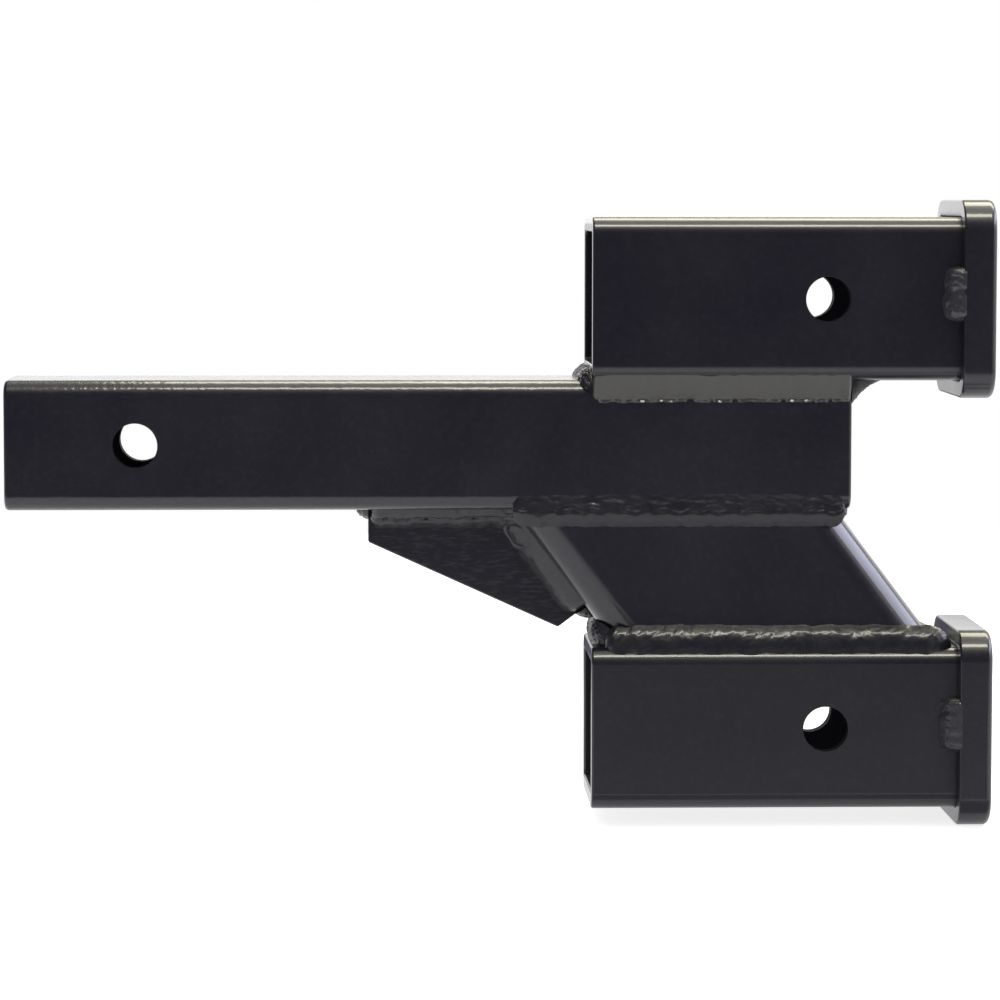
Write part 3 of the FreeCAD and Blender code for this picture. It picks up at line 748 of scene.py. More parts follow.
@dataclass
class WeldRun:
    """One straight run of weld metal laid in a corner. All sizes and places are in millimetres.

    The run goes from start to end along its root. toe_a and toe_b reach from the root to the two
    edges of the face, and into reaches from the root into the steel behind it.
    """

    node: str
    start: Vector
    end: Vector
    toe_a: Vector
    toe_b: Vector
    into: Vector
    crown: float
    style: BeadStyle
    seed: float
    taper: tuple[float, float] = (6.0, 6.0)
    curl: Vector = field(default_factory=Vector)
    curl_reach: float = 8.0
    craters: tuple[float, ...] = ()
    step: float = 0.4
    across: int = 28

    @classmethod
    def crossing(cls, node: str, centre: Vector, half: float, *reach: Vector,
                 **settings: Any) -> "WeldRun":
        """Makes a run straight across the object.

        Args:
            node: The CAD node it stands for.
            centre: The middle of its root.
            half: Half its length.
            reach: The two toes and the vector into the steel.
            settings: The run's other fields.

        Returns:
            The run.
        """
        ahead = Vector((0, half, 0))
        return cls(node, centre - ahead, centre + ahead, *reach, **settings)

    def length(self) -> float:
        """Gives the length of the root."""
        return (self.end - self.start).length

    def section(self, along: float) -> tuple[Vector, Vector, Vector, Vector]:
        """Gives the run's section at a place.

        Args:
            along: Distance from the start.

        Returns:
            The root point, the two toe vectors and the vector into the steel.
        """
        root = self.start.lerp(self.end, along / self.length())
        room = min(along, self.length() - along)
        bent = self.curl * max(0.0, 1 - room / self.curl_reach) ** 2
        return root + bent, self.toe_a, self.toe_b, self.into

    def spacing(self, u: float) -> float:
        """Turns an even share of the run to a distance, closer together near the domed ends."""
        return self.length() * (1 - math.cos(math.pi * u)) / 2

    def drift(self, root: Vector, kind: Drift) -> float:
        """Gives how far a slow change has gone at a place on the root."""
        spacing, shift = kind.value
        return wavy(root, spacing, self.seed + shift)

    def stop(self, along: float, v: float) -> float:
        """Gives the depth of the oval craters left where the arc stopped.

        Args:
            along: Distance from the start.
            v: Place across the face, from 0 to 1.

        Returns:
            Height of the grooves round the craters, below zero.
        """
        depth = 0.0
        for crater in self.craters:
            ring = math.hypot((along - crater) / CRATER_HALF[0], (v - 0.5) / CRATER_HALF[1])
            place = Vector((along, CRATER_ACROSS * v, crater))
            ring *= 1 + CRATER_SWAY * wavy(place, CRATER_SWAY_MM, self.seed)
            depth -= CRATER_DEPTH * hump(ring - 1, CRATER_RIM)
        return depth

    def swell(self, along: float) -> float:
        """Gives the share of the full section at a place, so that a run ends in a dome.

        Args:
            along: Distance from the start.

        Returns:
            The share, from 0 to 1.
        """
        share = 1.0
        for room, reach in ((along, self.taper[0]), (self.length() - along, self.taper[1])):
            if room < reach:
                share = min(share, math.sqrt(max(0.0, 1 - (1 - room / reach) ** 2)))
        return share

    def ripple(self, along: float, v: float) -> float:
        """Gives the height of the ripples.

        Args:
            along: Distance from the start.
            v: Place across the face, from 0 at toe_a to 1 at toe_b.

        Returns:
            Height above the plain face.
        """
        bead = self.style.value
        slow = Vector((along / (DRIFT_PITCHES * bead.pitch), self.seed, DRIFT_LANE))
        lag = bead.slant * (1 - v) - bead.bow * (2 * v - 1) ** 2
        phase = (along - lag) / bead.pitch + DRIFT_SHARE * noise.noise(slow)
        number = math.floor(phase)
        own = Vector((JITTER_STEP * number, self.seed, JITTER_ACROSS * v))
        uneven = 1 - bead.jitter * abs(noise.noise(own))
        dome = math.sqrt(max(0.0, 1 - (2 * (phase - number) - 1) ** 2))
        field_at = Vector((along / PATCH_MM, self.seed, PATCH_LANE))
        strong = clamp(PATCH_MEAN + PATCH_GAIN * noise.noise(field_at))
        return bead.height * uneven * (1 - bead.patch * (1 - strong)) * (dome - DOME_MEAN)

    def face_point(self, u: float, v: float) -> Vector:
        """Gives a point of the weld's face.

        Args:
            u: Place along the run, from 0 to 1.
            v: Place across the face, from 0 to 1.

        Returns:
            The point in millimetres.
        """
        bead = self.style.value
        along = self.spacing(u)
        root, toe_a, toe_b, into = self.section(along)
        reach_a = 1 + bead.wander / toe_a.length * self.drift(root, Drift.TOE_A)
        reach_b = 1 + bead.wander / toe_b.length * self.drift(root, Drift.TOE_B)
        flat = (toe_a * reach_a).lerp(toe_b * reach_b, v)
        run = (toe_b - toe_a).normalized()
        out = -into - run * (-into).dot(run)
        out.normalize()
        peak = bead.peak + bead.sway * self.drift(root, Drift.CROWN_PLACE)
        near = v / peak if v < peak else (1 - v) / (1 - peak)
        mound = 1 - (1 - near) ** bead.bulge
        mound *= 1 + CROWN_SWAY * bead.sway * self.drift(root, Drift.CROWN_HEIGHT)
        rough = 1 - (2 * v - 1) ** EDGE_POWER
        rough *= 1 - bead.calm * clamp((v - peak) / CALM_BAND + 0.5)
        height = self.crown * mound + rough * self.ripple(along, v)
        notch = 0.5 + NOTCH_SWAY * self.drift(root, Drift.NOTCH_PLACE)
        depth = NOTCH_MEAN + NOTCH_SWING * self.drift(root, Drift.NOTCH_DEPTH)
        height -= bead.groove * hump(v - notch, NOTCH_HALF) * depth
        spot = root / bead.stretch + flat
        for share, finer, shift in GRAIN_LAYERS:
            grain = wavy(spot, bead.grain_size / finer, self.seed + shift)
            height += rough * share * bead.grain * grain
        lip = LIP_MEAN + self.drift(root, Drift.LIP)
        height += bead.lip * hump(v - LIP_AT, LIP_HALF) * lip
        height += self.stop(along, v)
        return root + (flat + out * height) * self.swell(along)

    def build(self) -> BMesh:
        """Models the run as a grid shaped to the weld's face and closed along its root.

        Returns:
            The closed shape in place, in metres.
        """
        bm = bmesh.new()
        count = max(LEAST_STEPS, round(END_STEPS * self.length() / self.step))
        ops.create_grid(bm, x_segments=count, y_segments=self.across, size=0.5)
        rim = [e for e in bm.edges if e.is_boundary]
        skirt = ops.extrude_edge_only(bm, edges=rim)
        buried = {g for g in skirt["geom"] if isinstance(g, BMVert)}
        for vert in bm.verts:
            u, v = vert.co.x + 0.5, vert.co.y + 0.5
            if vert in buried:
                along = self.spacing(u)
                root, _, _, into = self.section(along)
                vert.co = (root + into * self.swell(along)) * MM
            else:
                vert.co = self.face_point(u, v) * MM
        ops.remove_doubles(bm, verts=bm.verts, dist=MERGE)
        ops.dissolve_degenerate(bm, edges=bm.edges, dist=MERGE)
        return bm

    def dress(self, coats: Coats) -> Object:
        """Finishes the run in its coat and returns the piece."""
        # Smooth runs wear the coat whose pale colour is painted reflection; stitches wear the dull
        # coat.
        paler_coats = {BeadStyle.SMOOTH: Coat.THIN, BeadStyle.STITCH: Coat.DULL}
        coat = coats[paler_coats.get(self.style, Coat.WELD)]
        return finish_piece(self.build(), self.node, [coat], False)


@dataclass
class RingRun(WeldRun):
    """A closed run round the inside of a collar. start is its centre and end is not used."""

    half: float = 31.95
    corner: float = 6.7

    def length(self) -> float:
        """Gives the length of the root."""
        return 8 * (self.half - self.corner) + 2 * math.pi * self.corner

    def swell(self, along: float) -> float:
        """Gives the full section everywhere, because a ring has no ends."""
        return 1.0

    def spacing(self, u: float) -> float:
        """Turns an even share of the ring to an even distance."""
        return self.length() * u

    def section(self, along: float) -> tuple[Vector, Vector, Vector, Vector]:
        """Gives the ring's section at a place.

        Args:
            along: Distance round the ring from the middle of one side.

        Returns:
            The root point, the two toe vectors and the vector into the steel.
        """
        core = self.half - self.corner
        bend = QUARTER_TURN * self.corner
        quarter = 2 * core + bend
        side, rest = divmod(along % self.length(), quarter)
        if rest < core:
            turn, place = 0.0, Vector((self.half, rest))
        elif rest < core + bend:
            turn = (rest - core) / self.corner
            place = Vector((
                core + self.corner * math.cos(turn), core + self.corner * math.sin(turn),
            ))
        else:
            turn, place = QUARTER_TURN, Vector((quarter - rest, self.half))
        angle = side * QUARTER_TURN
        cos, sin = math.cos(angle), math.sin(angle)
        y, z = place.x * cos - place.y * sin, place.x * sin + place.y * cos
        outward = Vector((0, math.cos(angle + turn), math.sin(angle + turn)))
        toe_a, toe_b, into = (
            Vector((v.x, 0, 0)) + outward * v.y for v in (self.toe_a, self.toe_b, self.into)
        )
        return self.start + Vector((0, y, z)), toe_a, toe_b, into


class Side(Enum):
    """The two flanks of the object across Y."""

    LEFT = -1
    RIGHT = 1

    def label(self) -> str:
        """Gives the side's name as the nodes spell it."""
        return self.name.lower()


def box_corner(node: str, end: int) -> Any:
    """Makes a field for a CAD node's lowest (0) or highest (1) corner in millimetres."""
    return field(default_factory=lambda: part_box(node)[end] / MM)


@dataclass
class Frame:
    """Where the steel stands, in millimetres, read from the CAD nodes."""

    shank_high: Vector = box_corner("shank_tube", 1)
    upper_low: Vector = box_corner("upper_receiver_tube", 0)
    upper_high: Vector = box_corner("upper_receiver_tube", 1)
    lower_low: Vector = box_corner("lower_receiver_tube", 0)
    drop_low: Vector = box_corner("drop_tube", 0)
    drop_high: Vector = box_corner("drop_tube", 1)
    plate_low: Vector = box_corner("gusset_plate", 0)
    plate_high: Vector = box_corner("gusset_plate", 1)
    drop_width: float = 101.6

    def level_width(self) -> float:
        """Gives the drop tube's width where it is sawn level."""
        return self.drop_width / math.sin(LEAN)


@dataclass
class UpperWelds:
    """The welds that hold the upper receiver on the shank. A sunk pair is how deep a root goes."""

    at: Frame
    corner: float = 6.5
    flare: float = math.radians(50)
    leg: float = 8.6
    crown: float = 0.1
    sunk: tuple[float, float] = (5.0, 0.75)
    end_past: float = 0.6
    end_leg: float = 5.3
    end_crown: float = 0.9
    end_curl: float = 4.0
    end_sunk: tuple[float, float] = (1.4, 1.2)
    heel_reach: float = 11.5
    heel_drop: float = 9.5
    heel_hollow: float = 1.3

    def runs(self) -> list[WeldRun]:
        """Lays the runs out.

        Returns:
            The two flank runs and the runs across both ends.
        """
        half, top = self.at.shank_high.y, self.at.shank_high.z
        x0, x1 = self.at.upper_low.x, self.at.shank_high.x
        reach = self.at.upper_high.y - self.corner + self.corner * math.sin(self.flare) - half
        rise = self.corner * (1 - math.cos(self.flare))
        deep, low = self.sunk
        made: list[WeldRun] = []
        for side in Side:
            s = side.value
            made.append(WeldRun(
                f"upper_receiver_weld_{side.label()}", Vector((x0, s * half, top)),
                Vector((x1, s * half, top)), Vector((0, s * reach, rise)),
                Vector((0, 0, -self.leg)), Vector((0, -s * deep, -low)), self.crown,
                BeadStyle.SMOOTH, seed=3.0 + s, taper=(2.0, 2.0), across=44,
            ))
        deep, low = self.end_sunk
        made.append(WeldRun.crossing(
            "upper_receiver_weld_front", Vector((x0, 0, top)), half + self.end_past,
            Vector((0, 0, self.end_leg)), Vector((-self.end_leg, 0, 0)), Vector((deep, 0, -low)),
            crown=self.end_crown, style=BeadStyle.LUMPY, seed=6.0, taper=(5.0, 5.0),
            curl=Vector((0, 0, -self.end_curl)),
        ))
        made.append(WeldRun.crossing(
            "upper_receiver_weld_rear", Vector((x1, 0, top)), half + self.end_past,
            Vector((self.heel_reach, 0, 0)), Vector((0, 0, -self.heel_drop)),
            Vector((-deep, 0, low)), crown=-self.heel_hollow, style=BeadStyle.LUMPY, seed=7.0,
            taper=(2.5, 2.5),
        ))
        return made


@dataclass
class DropWelds:
    """The welds that hold the drop tube between the shank and the lower receiver."""

    at: Frame
    seam_leg: float = 6.3
    seam_crown: float = 1.3
    seam_past: float = 2.7
    seam_sunk: float = 5.0
    head_inset: float = 7.85
    head_reach: float = 4.77
    head_crown: float = 0.8
    head_sunk: tuple[float, float] = (1.5, 1.0)
    end_leg: float = 5.3
    foot_leg: float = 8.5
    foot_crown: float = 2.0
    foot_angle: float = math.radians(50)
    foot_ahead: float = 4.3
    foot_past: dict[Side, float] = field(
        default_factory=lambda: {Side.LEFT: 4.5, Side.RIGHT: -6.0}
    )
    foot_sunk: tuple[float, float] = (4.45, 3.2)
    heap_inset: float = 1.0
    heap_leg: float = 12.0
    heap_reach: float = 8.6
    heap_crown: float = 1.2
    heap_sunk: tuple[float, float] = (1.5, 1.2)
    heap_curl: float = 4.5
    curl_reach: float = 10.0
    tail_leg: float = 7.6
    tail_crown: float = 0.6
    receiver_corner: float = 6.5

    def runs(self) -> list[WeldRun]:
        """Lays the runs out.

        Returns:
            The flank and end runs at the tube's head and foot.
        """
        half = self.at.drop_high.y
        top, foot = self.at.drop_high.z, self.at.drop_low.z
        x0, x1 = self.at.drop_low.x, self.at.drop_high.x
        head_rear, foot_front = x0 + self.at.level_width(), x1 - self.at.level_width()
        wide = abs(self.at.lower_low.y)
        reach = wide - self.receiver_corner * (1 - math.sin(self.foot_angle)) - half
        fall = self.receiver_corner * (1 - math.cos(self.foot_angle))
        made: list[WeldRun] = []
        deep, low = self.foot_sunk
        for side in Side:
            s = side.value
            made.append(WeldRun(
                f"drop_top_weld_{side.label()}", Vector((x0, s * half, top)),
                Vector((head_rear + self.seam_past, s * half, top)),
                Vector((0, 0, self.seam_leg)), Vector((0, 0, -self.seam_leg)),
                Vector((0, -s * self.seam_sunk, 0)), self.seam_crown, BeadStyle.ROUGH,
                seed=13.0 + s, taper=(4.0, 4.0),
            ))
            made.append(WeldRun(
                f"drop_bottom_weld_{side.label()}",
                Vector((foot_front - self.foot_ahead, s * half, foot)),
                Vector((x1 + self.foot_past[side], s * half, foot)),
                Vector((0, 0, self.foot_leg)), Vector((0, s * reach, -fall)),
                Vector((0, -s * deep, -low)), self.foot_crown, BeadStyle.RIPPLED,
                seed=17.0 + s, taper=(5.0, 11.0),
            ))
        deep, low = self.head_sunk
        for end, x, way, seed in (("front", x0, -1, 21.0), ("rear", head_rear, 1, 23.0)):
            made.append(WeldRun.crossing(
                f"drop_top_weld_{end}", Vector((x, 0, top)), half - self.head_inset,
                Vector((way * self.head_reach, 0, 0)), DOWN * self.end_leg,
                Vector((-way * deep, 0, low)), crown=self.head_crown, style=BeadStyle.LUMPY,
                seed=seed,
            ))
        deep, low = self.heap_sunk
        for end, x, way, leg, out, crown, seed, taper in (
            ("front", foot_front, -1, self.heap_leg, self.heap_reach, self.heap_crown, 27.0, 6.0),
            ("rear", x1, 1, self.tail_leg, self.end_leg, self.tail_crown, 29.0, 5.0),
        ):
            made.append(WeldRun.crossing(
                f"drop_bottom_weld_{end}", Vector((x, 0, foot)), half - self.heap_inset,
                DOWN * -leg, Vector((way * out, 0, 0)), Vector((-way * deep, 0, -low)),
                crown=crown, style=BeadStyle.LUMPY, seed=seed, taper=(taper, taper),
                curl=Vector((-way * self.heap_curl, 0, 0)), curl_reach=self.curl_reach,
            ))
        return made


@dataclass
class GussetWelds:
    """The welds round the gusset plate."""

    at: Frame
    leg: float = 8.6
    crown: float = 0.8
    sunk: float = 1.5
    shank_past: float = 3.0
    drop_ahead: float = 1.0
    rise: float = 49.5
    crater_at: float = 11.0
    wrap_leg: float = 5.0
    wrap_sunk: float = 1.1

    def runs(self) -> list[WeldRun]:
        """Lays the runs out.

        Returns:
            The runs along the shank, along the drop tube, and round the plate's two noses.
        """
        half, top = self.at.plate_high.y, self.at.plate_high.z
        x0, x1 = self.at.plate_low.x, self.at.drop_low.x
        made: list[WeldRun] = []
        for side in Side:
            s = side.value
            corner = Vector((x1, s * half, top))
            made.append(WeldRun(
                f"gusset_shank_weld_{side.label()}", Vector((x0, s * half, top)),
                Vector((x1 + self.shank_past, s * half, top)), Vector((0, s * self.leg, 0)),
                Vector((0, 0, -self.leg)), Vector((0, -s * self.sunk, self.sunk)), self.crown,
                BeadStyle.TWO_PASS, seed=31.0 + s, taper=(5.0, 1.0),
            ))
            made.append(WeldRun(
                f"gusset_drop_weld_{side.label()}", corner - DOWN * self.drop_ahead,
                corner + DOWN * self.rise, Vector((0, s * self.leg, 0)), AWAY * self.leg,
                Vector((0, -s * self.sunk, 0)) - AWAY * self.sunk, self.crown, BeadStyle.FILLET,
                seed=35.0 + s, taper=(1.0, 5.0), craters=(self.crater_at,),
            ))
        wrap = {"crown": self.crown, "style": BeadStyle.LUMPY, "taper": (5.0, 5.0)}
        made.append(WeldRun.crossing(
            "gusset_shank_weld_front", Vector((x0, 0, top)), half + self.wrap_leg,
            Vector((-self.wrap_leg, 0, 0)), Vector((0, 0, -self.wrap_leg)),
            Vector((self.sunk, 0, self.sunk)), seed=41.0, **wrap,
        ))
        made.append(WeldRun.crossing(
            "gusset_drop_weld_rear", Vector((x1, 0, top)) + DOWN * self.rise, half + self.wrap_leg,
            DOWN * self.wrap_leg, AWAY * self.wrap_leg, (DOWN + AWAY) * -self.wrap_sunk,
            seed=43.0, **wrap,
        ))
        return made


@dataclass
class CollarWelds:
    """The short stitches behind a collar and the bead inside its mouth."""

    level: str
    seed: float
    leg: float = 7.2
    proud: float = 7.1
    lap: float = 0.9
    crown: float = 1.8
    half_length: float = 10.8
    lift: float = 2.0
    sunk: tuple[float, float] = (1.0, 1.5)
    mouth_leg: float = 3.2
    mouth_crown: float = 0.5
    mouth_sunk: tuple[float, float] = (0.6, 0.4)
    land: float = 0.6

    def runs(self) -> list[WeldRun]:
        """Lays the runs out.

        Returns:
            A stitch on each flank and the ring at the mouth.
        """
        low, high = (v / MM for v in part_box(f"{self.level}_receiver_tube"))
        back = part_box(f"{self.level}_collar")[0].x / MM
        axis = (low.z + high.z) / 2
        up = Vector((0, 0, self.half_length))
        made: list[WeldRun] = []
        for side in Side:
            s = side.value
            root = Vector((back, s * high.y, axis + self.lift))
            made.append(WeldRun(
                f"{self.level}_collar_weld_{side.label()}", root - up, root + up,
                Vector((-self.leg, 0, 0)), Vector((self.lap, s * self.proud, 0)),
                Vector((self.sunk[0], -s * self.sunk[1], 0)), self.crown, BeadStyle.STITCH,
                seed=self.seed + s, taper=(3.0, 3.0),
            ))
        centre = Vector((high.x, 0, axis))
        made.append(RingRun(
            f"{self.level}_collar_face_weld", centre, centre,
            Vector((self.mouth_leg, -self.land, 0)), Vector((0, -self.mouth_leg, 0)),
            Vector((-self.mouth_sunk[0], self.mouth_sunk[1], 0)), self.mouth_crown,
            BeadStyle.RING, seed=self.seed + 3, across=10,
        ))
        return made


class Stand(Enum):
    """How a sheet of the studio is turned: level, facing along Y, or facing along X."""

    LEVEL = Matrix.Identity(3)
    FACING_Y = Matrix.Rotation(QUARTER_TURN, 3, "X")
    FACING_X = Matrix.Rotation(QUARTER_TURN, 3, "Y")


@dataclass(frozen=True)
class Panel:
    """A soft lamp panel, in metres. Its size is its length along X and its width.

    Its level is one where its face is white. It shows only in gloss, or else it gives only the
    plain light.
    """

    name: str
    size: tuple[float, float]
    at: tuple[float, float, float]
    aim: tuple[float, float, float]
    level: float
    colour: str
    glints_only: bool = True

    def hang(self) -> None:
        """Hangs the panel in the scene."""
        data = bpy.data.lights.new(self.name, "AREA")
        data.shape = "RECTANGLE"
        data.size, data.size_y = self.size
        data.energy = self.level * math.pi * self.size[0] * self.size[1]
        data.color = linear(self.colour)[:3]
        item = link_object(self.name, data)
        item.location = self.at
        facing = Vector(self.aim) - Vector(self.at)
        item.rotation_euler = facing.to_track_quat("-Z", "Y").to_euler()
        item.visible_camera = False
        item.visible_diffuse = not self.glints_only
        item.visible_glossy = self.glints_only


PANELS = (
    Panel("overhead", (2.6, 0.94), (0.16, 0.34, 1.25), (0.16, 0.2, 0), 1.9, "#fffdf4", False),
    Panel("overhead_glint", (1.51, 0.6), (0.675, 0.6, 1.2), (0.675, 0.3, 0), 8.5, "#fffbe4"),
    Panel("front_glint", (0.975, 0.345), (0.3825, -0.913, 1.5), (0.3, 0, 0), 15.0, "#fffbe8"),
    Panel("side_glint", (1.6, 0.55), (1.75, 0.05, 0.75), (0.16, 0, 0), 6.0, "#e2e5ff"),
)


@dataclass
class Studio:
    """A white sweep in a dim room, with soft panels overhead and to the front, and the camera."""

    camera_at: tuple[float, float, float] = (0.094818, -1.524117, 0.095864)
    yaw: float = math.radians(1.801)
    pitch: float = math.radians(-4.463)
    roll: float = math.radians(0.05)
    lens: float = 138.92
    sensor: float = 36.0
    clip_end: float = 50.0
    ambient: float = 0.45
    paper: str = "#f4f4f4"
    paper_glow: str = "#e6e6e6"
    dim: str = "#4b4862"
    middle_x: float = 0.15
    width: float = 6.0
    floor_front: float = -0.75
    floor_back: float = 1.3
    floor_gap: float = 0.2 * MM
    floor_veil: float = 0.3
    room_gap: float = 0.5 * MM
    room_near: float = 0.3
    room_front: float = 0.55
    room_left: float = 1.5
    room_height: float = 2.4
    room_back: float = 2.45
    sweep_height: float = 0.228
    sweep_top: float = 0.8
    fill_size: tuple[float, float] = (1.6, 1.75)
    fill_at: tuple[float, float, float] = (0.7, -0.475, 1.6)
    # Painted shade: a grey card that only gloss shows stands in for the shaded floor in front of
    # the lower receiver.
    shade_card_at: float = 0.1
    shade_card_height: float = 0.062
    shade_card_width: float = 0.2
    shade_card_past: float = 0.03
    # Painted shadow: a grey strip on the floor that only gloss shows stands in for the contact
    # shadow under the lower receiver.
    shadow_strip_width: float = 0.03
    shadow_strip_gap: float = MM

    def camera(self) -> None:
        """Sets the camera where the photograph was taken from."""
        data = bpy.data.cameras.new("camera")
        data.lens = self.lens
        data.sensor_width = self.sensor
        data.clip_end = self.clip_end
        item = link_object("camera", data)
        level = math.cos(self.pitch)
        ahead = Vector((
            math.sin(self.yaw) * level, math.cos(self.yaw) * level, math.sin(self.pitch),
        ))
        item.location = self.camera_at
        facing = ahead.to_track_quat("-Z", "Y").to_matrix() @ Matrix.Rotation(self.roll, 3, "Z")
        item.rotation_euler = facing.to_euler()
        bpy.context.scene.camera = item

    def seen(self, tree: NodeTree) -> NodeSocket:
        """Adds a switch that is one for rays the eye follows.

        Args:
            tree: The node tree that takes it.

        Returns:
            The socket to use as a factor.
        """
        path = add_node(tree, "LightPath").outputs
        switch = path["Is Camera Ray"]
        for kind in ("Is Glossy Ray", "Is Transmission Ray"):
            switch = add_node(
                tree, "Math", {0: switch, 1: path[kind]}, operation="MAXIMUM",
            ).outputs[0]
        return switch

    def world(self) -> None:
        """Makes the surroundings white to the eye and a plain soft light to the object."""
        made = bpy.data.worlds.new("white_sweep")
        bpy.context.scene.world = made
        tree = blank_tree(made)
        white, soft = (
            add_node(
                tree, "Background", {"Color": (1, 1, 1, 1), "Strength": strength},
            ).outputs[0]
            for strength in (1.0, self.ambient)
        )
        both = add_node(tree, "MixShader", {0: self.seen(tree), 1: soft, 2: white})
        add_node(tree, "OutputWorld", {"Surface": both.outputs[0]})

    def sheet(self, name: str, size: tuple[float, float], place: tuple[float, float, float],
              material: Material, stand: Stand = Stand.LEVEL) -> Object:
        """Adds one flat sheet of the studio.

        Args:
            name: Its name.
            size: Width and depth.
            place: Its centre.
            material: What it is made of.
            stand: How it is turned.

        Returns:
            The sheet.
        """
        bm = bmesh.new()
        ops.create_grid(bm, x_segments=1, y_segments=1, size=0.5)
        ops.scale(bm, verts=bm.verts, vec=Vector((*size, 1)))
        ops.rotate(bm, verts=bm.verts, matrix=stand.value)
        ops.translate(bm, verts=bm.verts, vec=Vector(place))
        item = mesh_object(bm, name)
        item.data.materials.append(material)
        return item

    def floor(self) -> None:
        """Lays the white floor, which stops a little in front of the object."""
        made = bpy.data.materials.new("matt_white_paper")
        tree = blank_tree(made)
        paper = add_node(tree, "BsdfDiffuse", {"Color": linear(self.paper)})
        glow = add_node(
            tree, "Emission",
            {"Color": linear(self.paper_glow), "Strength": self.seen(tree)},
        )
        both = add_node(tree, "AddShader", {0: paper.outputs[0], 1: glow.outputs[0]})
        add_node(tree, "OutputMaterial", {"Surface": both.outputs[0]})
        depth = self.floor_back - self.floor_front
        height = CAD_BOX[0].z - self.floor_gap
        place = (self.middle_x, self.floor_front + depth / 2, height)
        self.sheet("floor", (self.width, depth), place, made)

    def glow(self, name: str, colour: str, level: float = 1.0) -> Material:
        """Makes a plain glowing material for a sheet of the studio.

        Args:
            name: Its name.
            colour: Its colour.
            level: How bright it is, where one is white.

        Returns:
            The material.
        """
        made = bpy.data.materials.new(name)
        tree = blank_tree(made)
        light = add_node(
            tree, "Emission", {"Color": linear(colour), "Strength": level},
        )
        add_node(tree, "OutputMaterial", {"Surface": light.outputs[0]})
        return made

    def falling_dark(self) -> Material:
        """Makes the room's dim floor, which is nearly clear beside the object.

        Returns:
            The material.
        """
        made = bpy.data.materials.new("floor_falling_dark")
        tree = blank_tree(made)
        place = add_node(tree, "TexCoord").outputs["Object"]
        depth = add_node(tree, "SeparateXYZ", {0: place}).outputs["Y"]
        far = add_node(tree, "Math", {0: depth}, operation="ABSOLUTE").outputs[0]
        share = add_node(
            tree, "MapRange",
            {"Value": far, "From Min": self.room_near, "From Max": self.room_front,
             "To Min": self.floor_veil, "To Max": 1.0},
        ).outputs["Result"]
        clear = add_node(tree, "BsdfTransparent").outputs[0]
        dark = add_node(
            tree, "Emission", {"Color": linear(self.dim), "Strength": 1.0},
        ).outputs[0]
        both = add_node(tree, "MixShader", {0: share, 1: clear, 2: dark})
        add_node(tree, "OutputMaterial", {"Surface": both.outputs[0]})
        return made

    def room(self) -> None:
        """Hangs the dim room and the bright sweep, which only the gloss of the object shows."""
        dim = self.glow("dim_room", self.dim)
        grey = self.glow("grey_ceiling", "#8c8b88")
        # Painted shade of the floor, worn by the card and the strip below.
        card = self.glow("painted_floor_shade", "#98969e")
        fill = self.glow("soft_fill", "#fffdf4")
        low_sweep = self.glow("low_sweep", "#f0f0f0")
        bright = self.glow("bright_sweep", "#ffffff", 1.5)
        foot, tall, wide = CAD_BOX[0].z, self.room_height, self.width
        x, back = self.middle_x, self.floor_back
        y = (back - self.room_back) / 2
        span = back + self.room_back
        above = tall - self.sweep_top
        band = self.sweep_top - self.sweep_height
        card_x = CAD_BOX[1].x - self.shade_card_width / 2 + self.shade_card_past
        shadow_strip_y = CAD_BOX[0].y - self.shadow_strip_width / 2
        facing_y = Stand.FACING_Y
        for name, size, place, material, stand in (
            ("room_left", (tall, span), (-self.room_left, y, foot + tall / 2), dim,
             Stand.FACING_X),
            ("room_floor", (wide, span), (x, y, foot + self.room_gap), self.falling_dark(),
             Stand.LEVEL),
            ("room_wall", (wide, tall), (x, -self.room_back, foot + tall / 2), dim, facing_y),
            ("room_ceiling", (wide, span), (x, y, foot + tall), grey, Stand.LEVEL),
            ("room_back", (wide, above), (x, back, foot + tall - above / 2), grey, facing_y),
            ("low_sweep_behind", (wide, self.sweep_height),
             (x, back, foot + self.sweep_height / 2), low_sweep, facing_y),
            ("sweep_behind", (wide, band), (x, back, foot + self.sweep_top - band / 2), bright,
             facing_y),
            ("soft_fill_above", self.fill_size, self.fill_at, fill, Stand.LEVEL),
            # The card paints the shade of the floor in front of the lower receiver into its gloss.
            ("painted_shade_card", (self.shade_card_width, self.shade_card_height),
             (card_x, -self.shade_card_at, foot + self.shade_card_height / 2), card, facing_y),
            # The strip paints the contact shadow under the lower receiver into its gloss.
            ("painted_shadow_strip", (self.shade_card_width, self.shadow_strip_width),
             (card_x, shadow_strip_y, foot + self.shadow_strip_gap), card, Stand.LEVEL),
        ):
            item = self.sheet(name, size, place, material, stand)
            item.visible_camera = False
            item.visible_diffuse = False
            item.visible_shadow = False

    def build(self) -> None:
        """Sets up the whole studio."""
        self.camera()
        self.world()
        self.floor()
        self.room()
        for panel in PANELS:
            panel.hang()
        bpy.context.scene.view_settings.view_transform = "Standard"


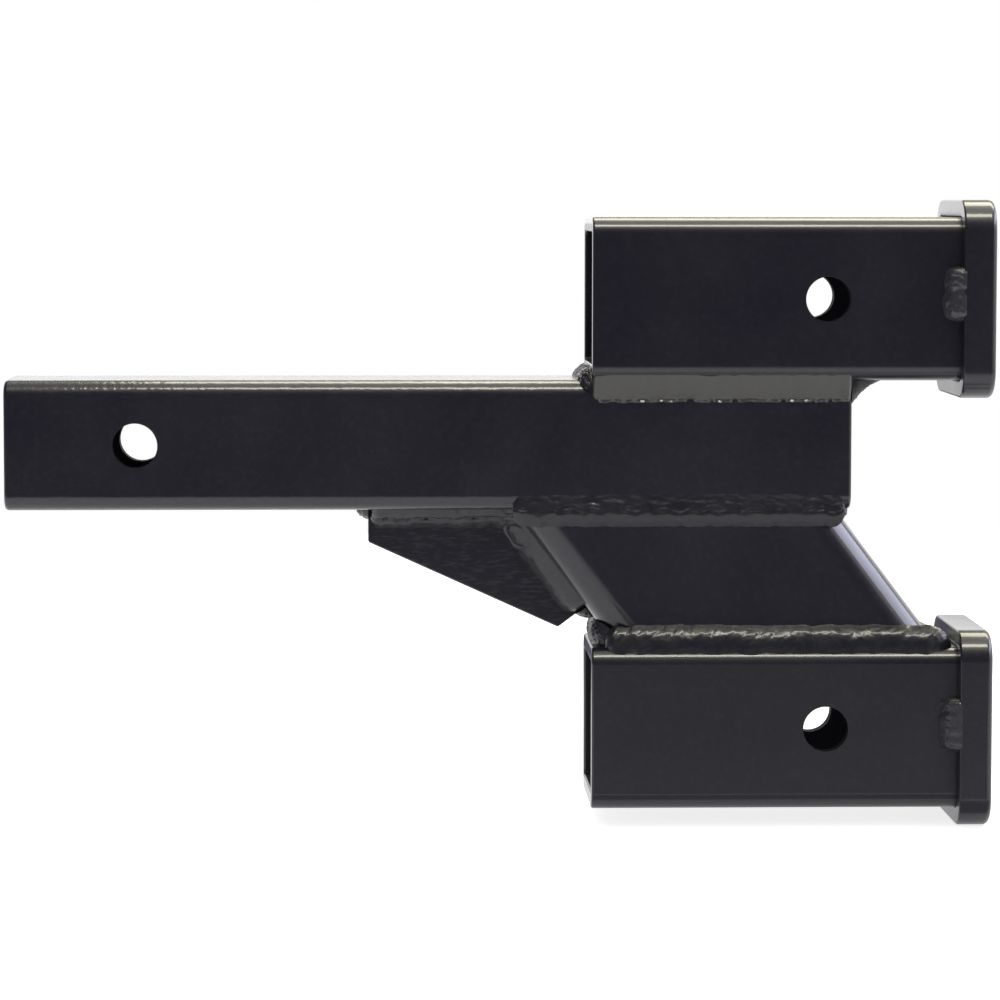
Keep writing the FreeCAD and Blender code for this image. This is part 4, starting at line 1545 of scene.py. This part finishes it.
def main() -> None:
    """Builds the object piece by piece, then the studio."""
    logging.basicConfig(level=logging.INFO, format="%(message)s")
    coats: Coats = {coat: coat.value.material() for coat in Coat}
    at = Frame()
    levels = ("upper", "lower")
    steel: list[SteelPart] = [
        SquareTube(
            "shank_tube", Coat.SHANK, bore=38.1 * MM, corner=6.2 * MM, pin="shank_pin_hole",
            rim=1.6 * MM,
        ),
        *(
            SquareTube(
                f"{level}_receiver_tube", Coat.TUBE, bore=51.6 * MM, corner=6.5 * MM,
                pin=f"{level}_receiver_pin_hole",
            )
            for level in levels
        ),
        DropTube("drop_tube", Coat.TUBE),
        *(Collar(f"{level}_collar", Coat.TUBE) for level in levels),
        Gusset("gusset_plate", Coat.PLATE),
    ]
    joints = [
        UpperWelds(at), DropWelds(at), GussetWelds(at), CollarWelds("upper", seed=51.0),
        CollarWelds("lower", seed=61.0),
    ]
    for piece in steel + [run for joint in joints for run in joint.runs()]:
        piece.dress(coats)
    Studio().build()


if __name__ == "__main__":
    main()
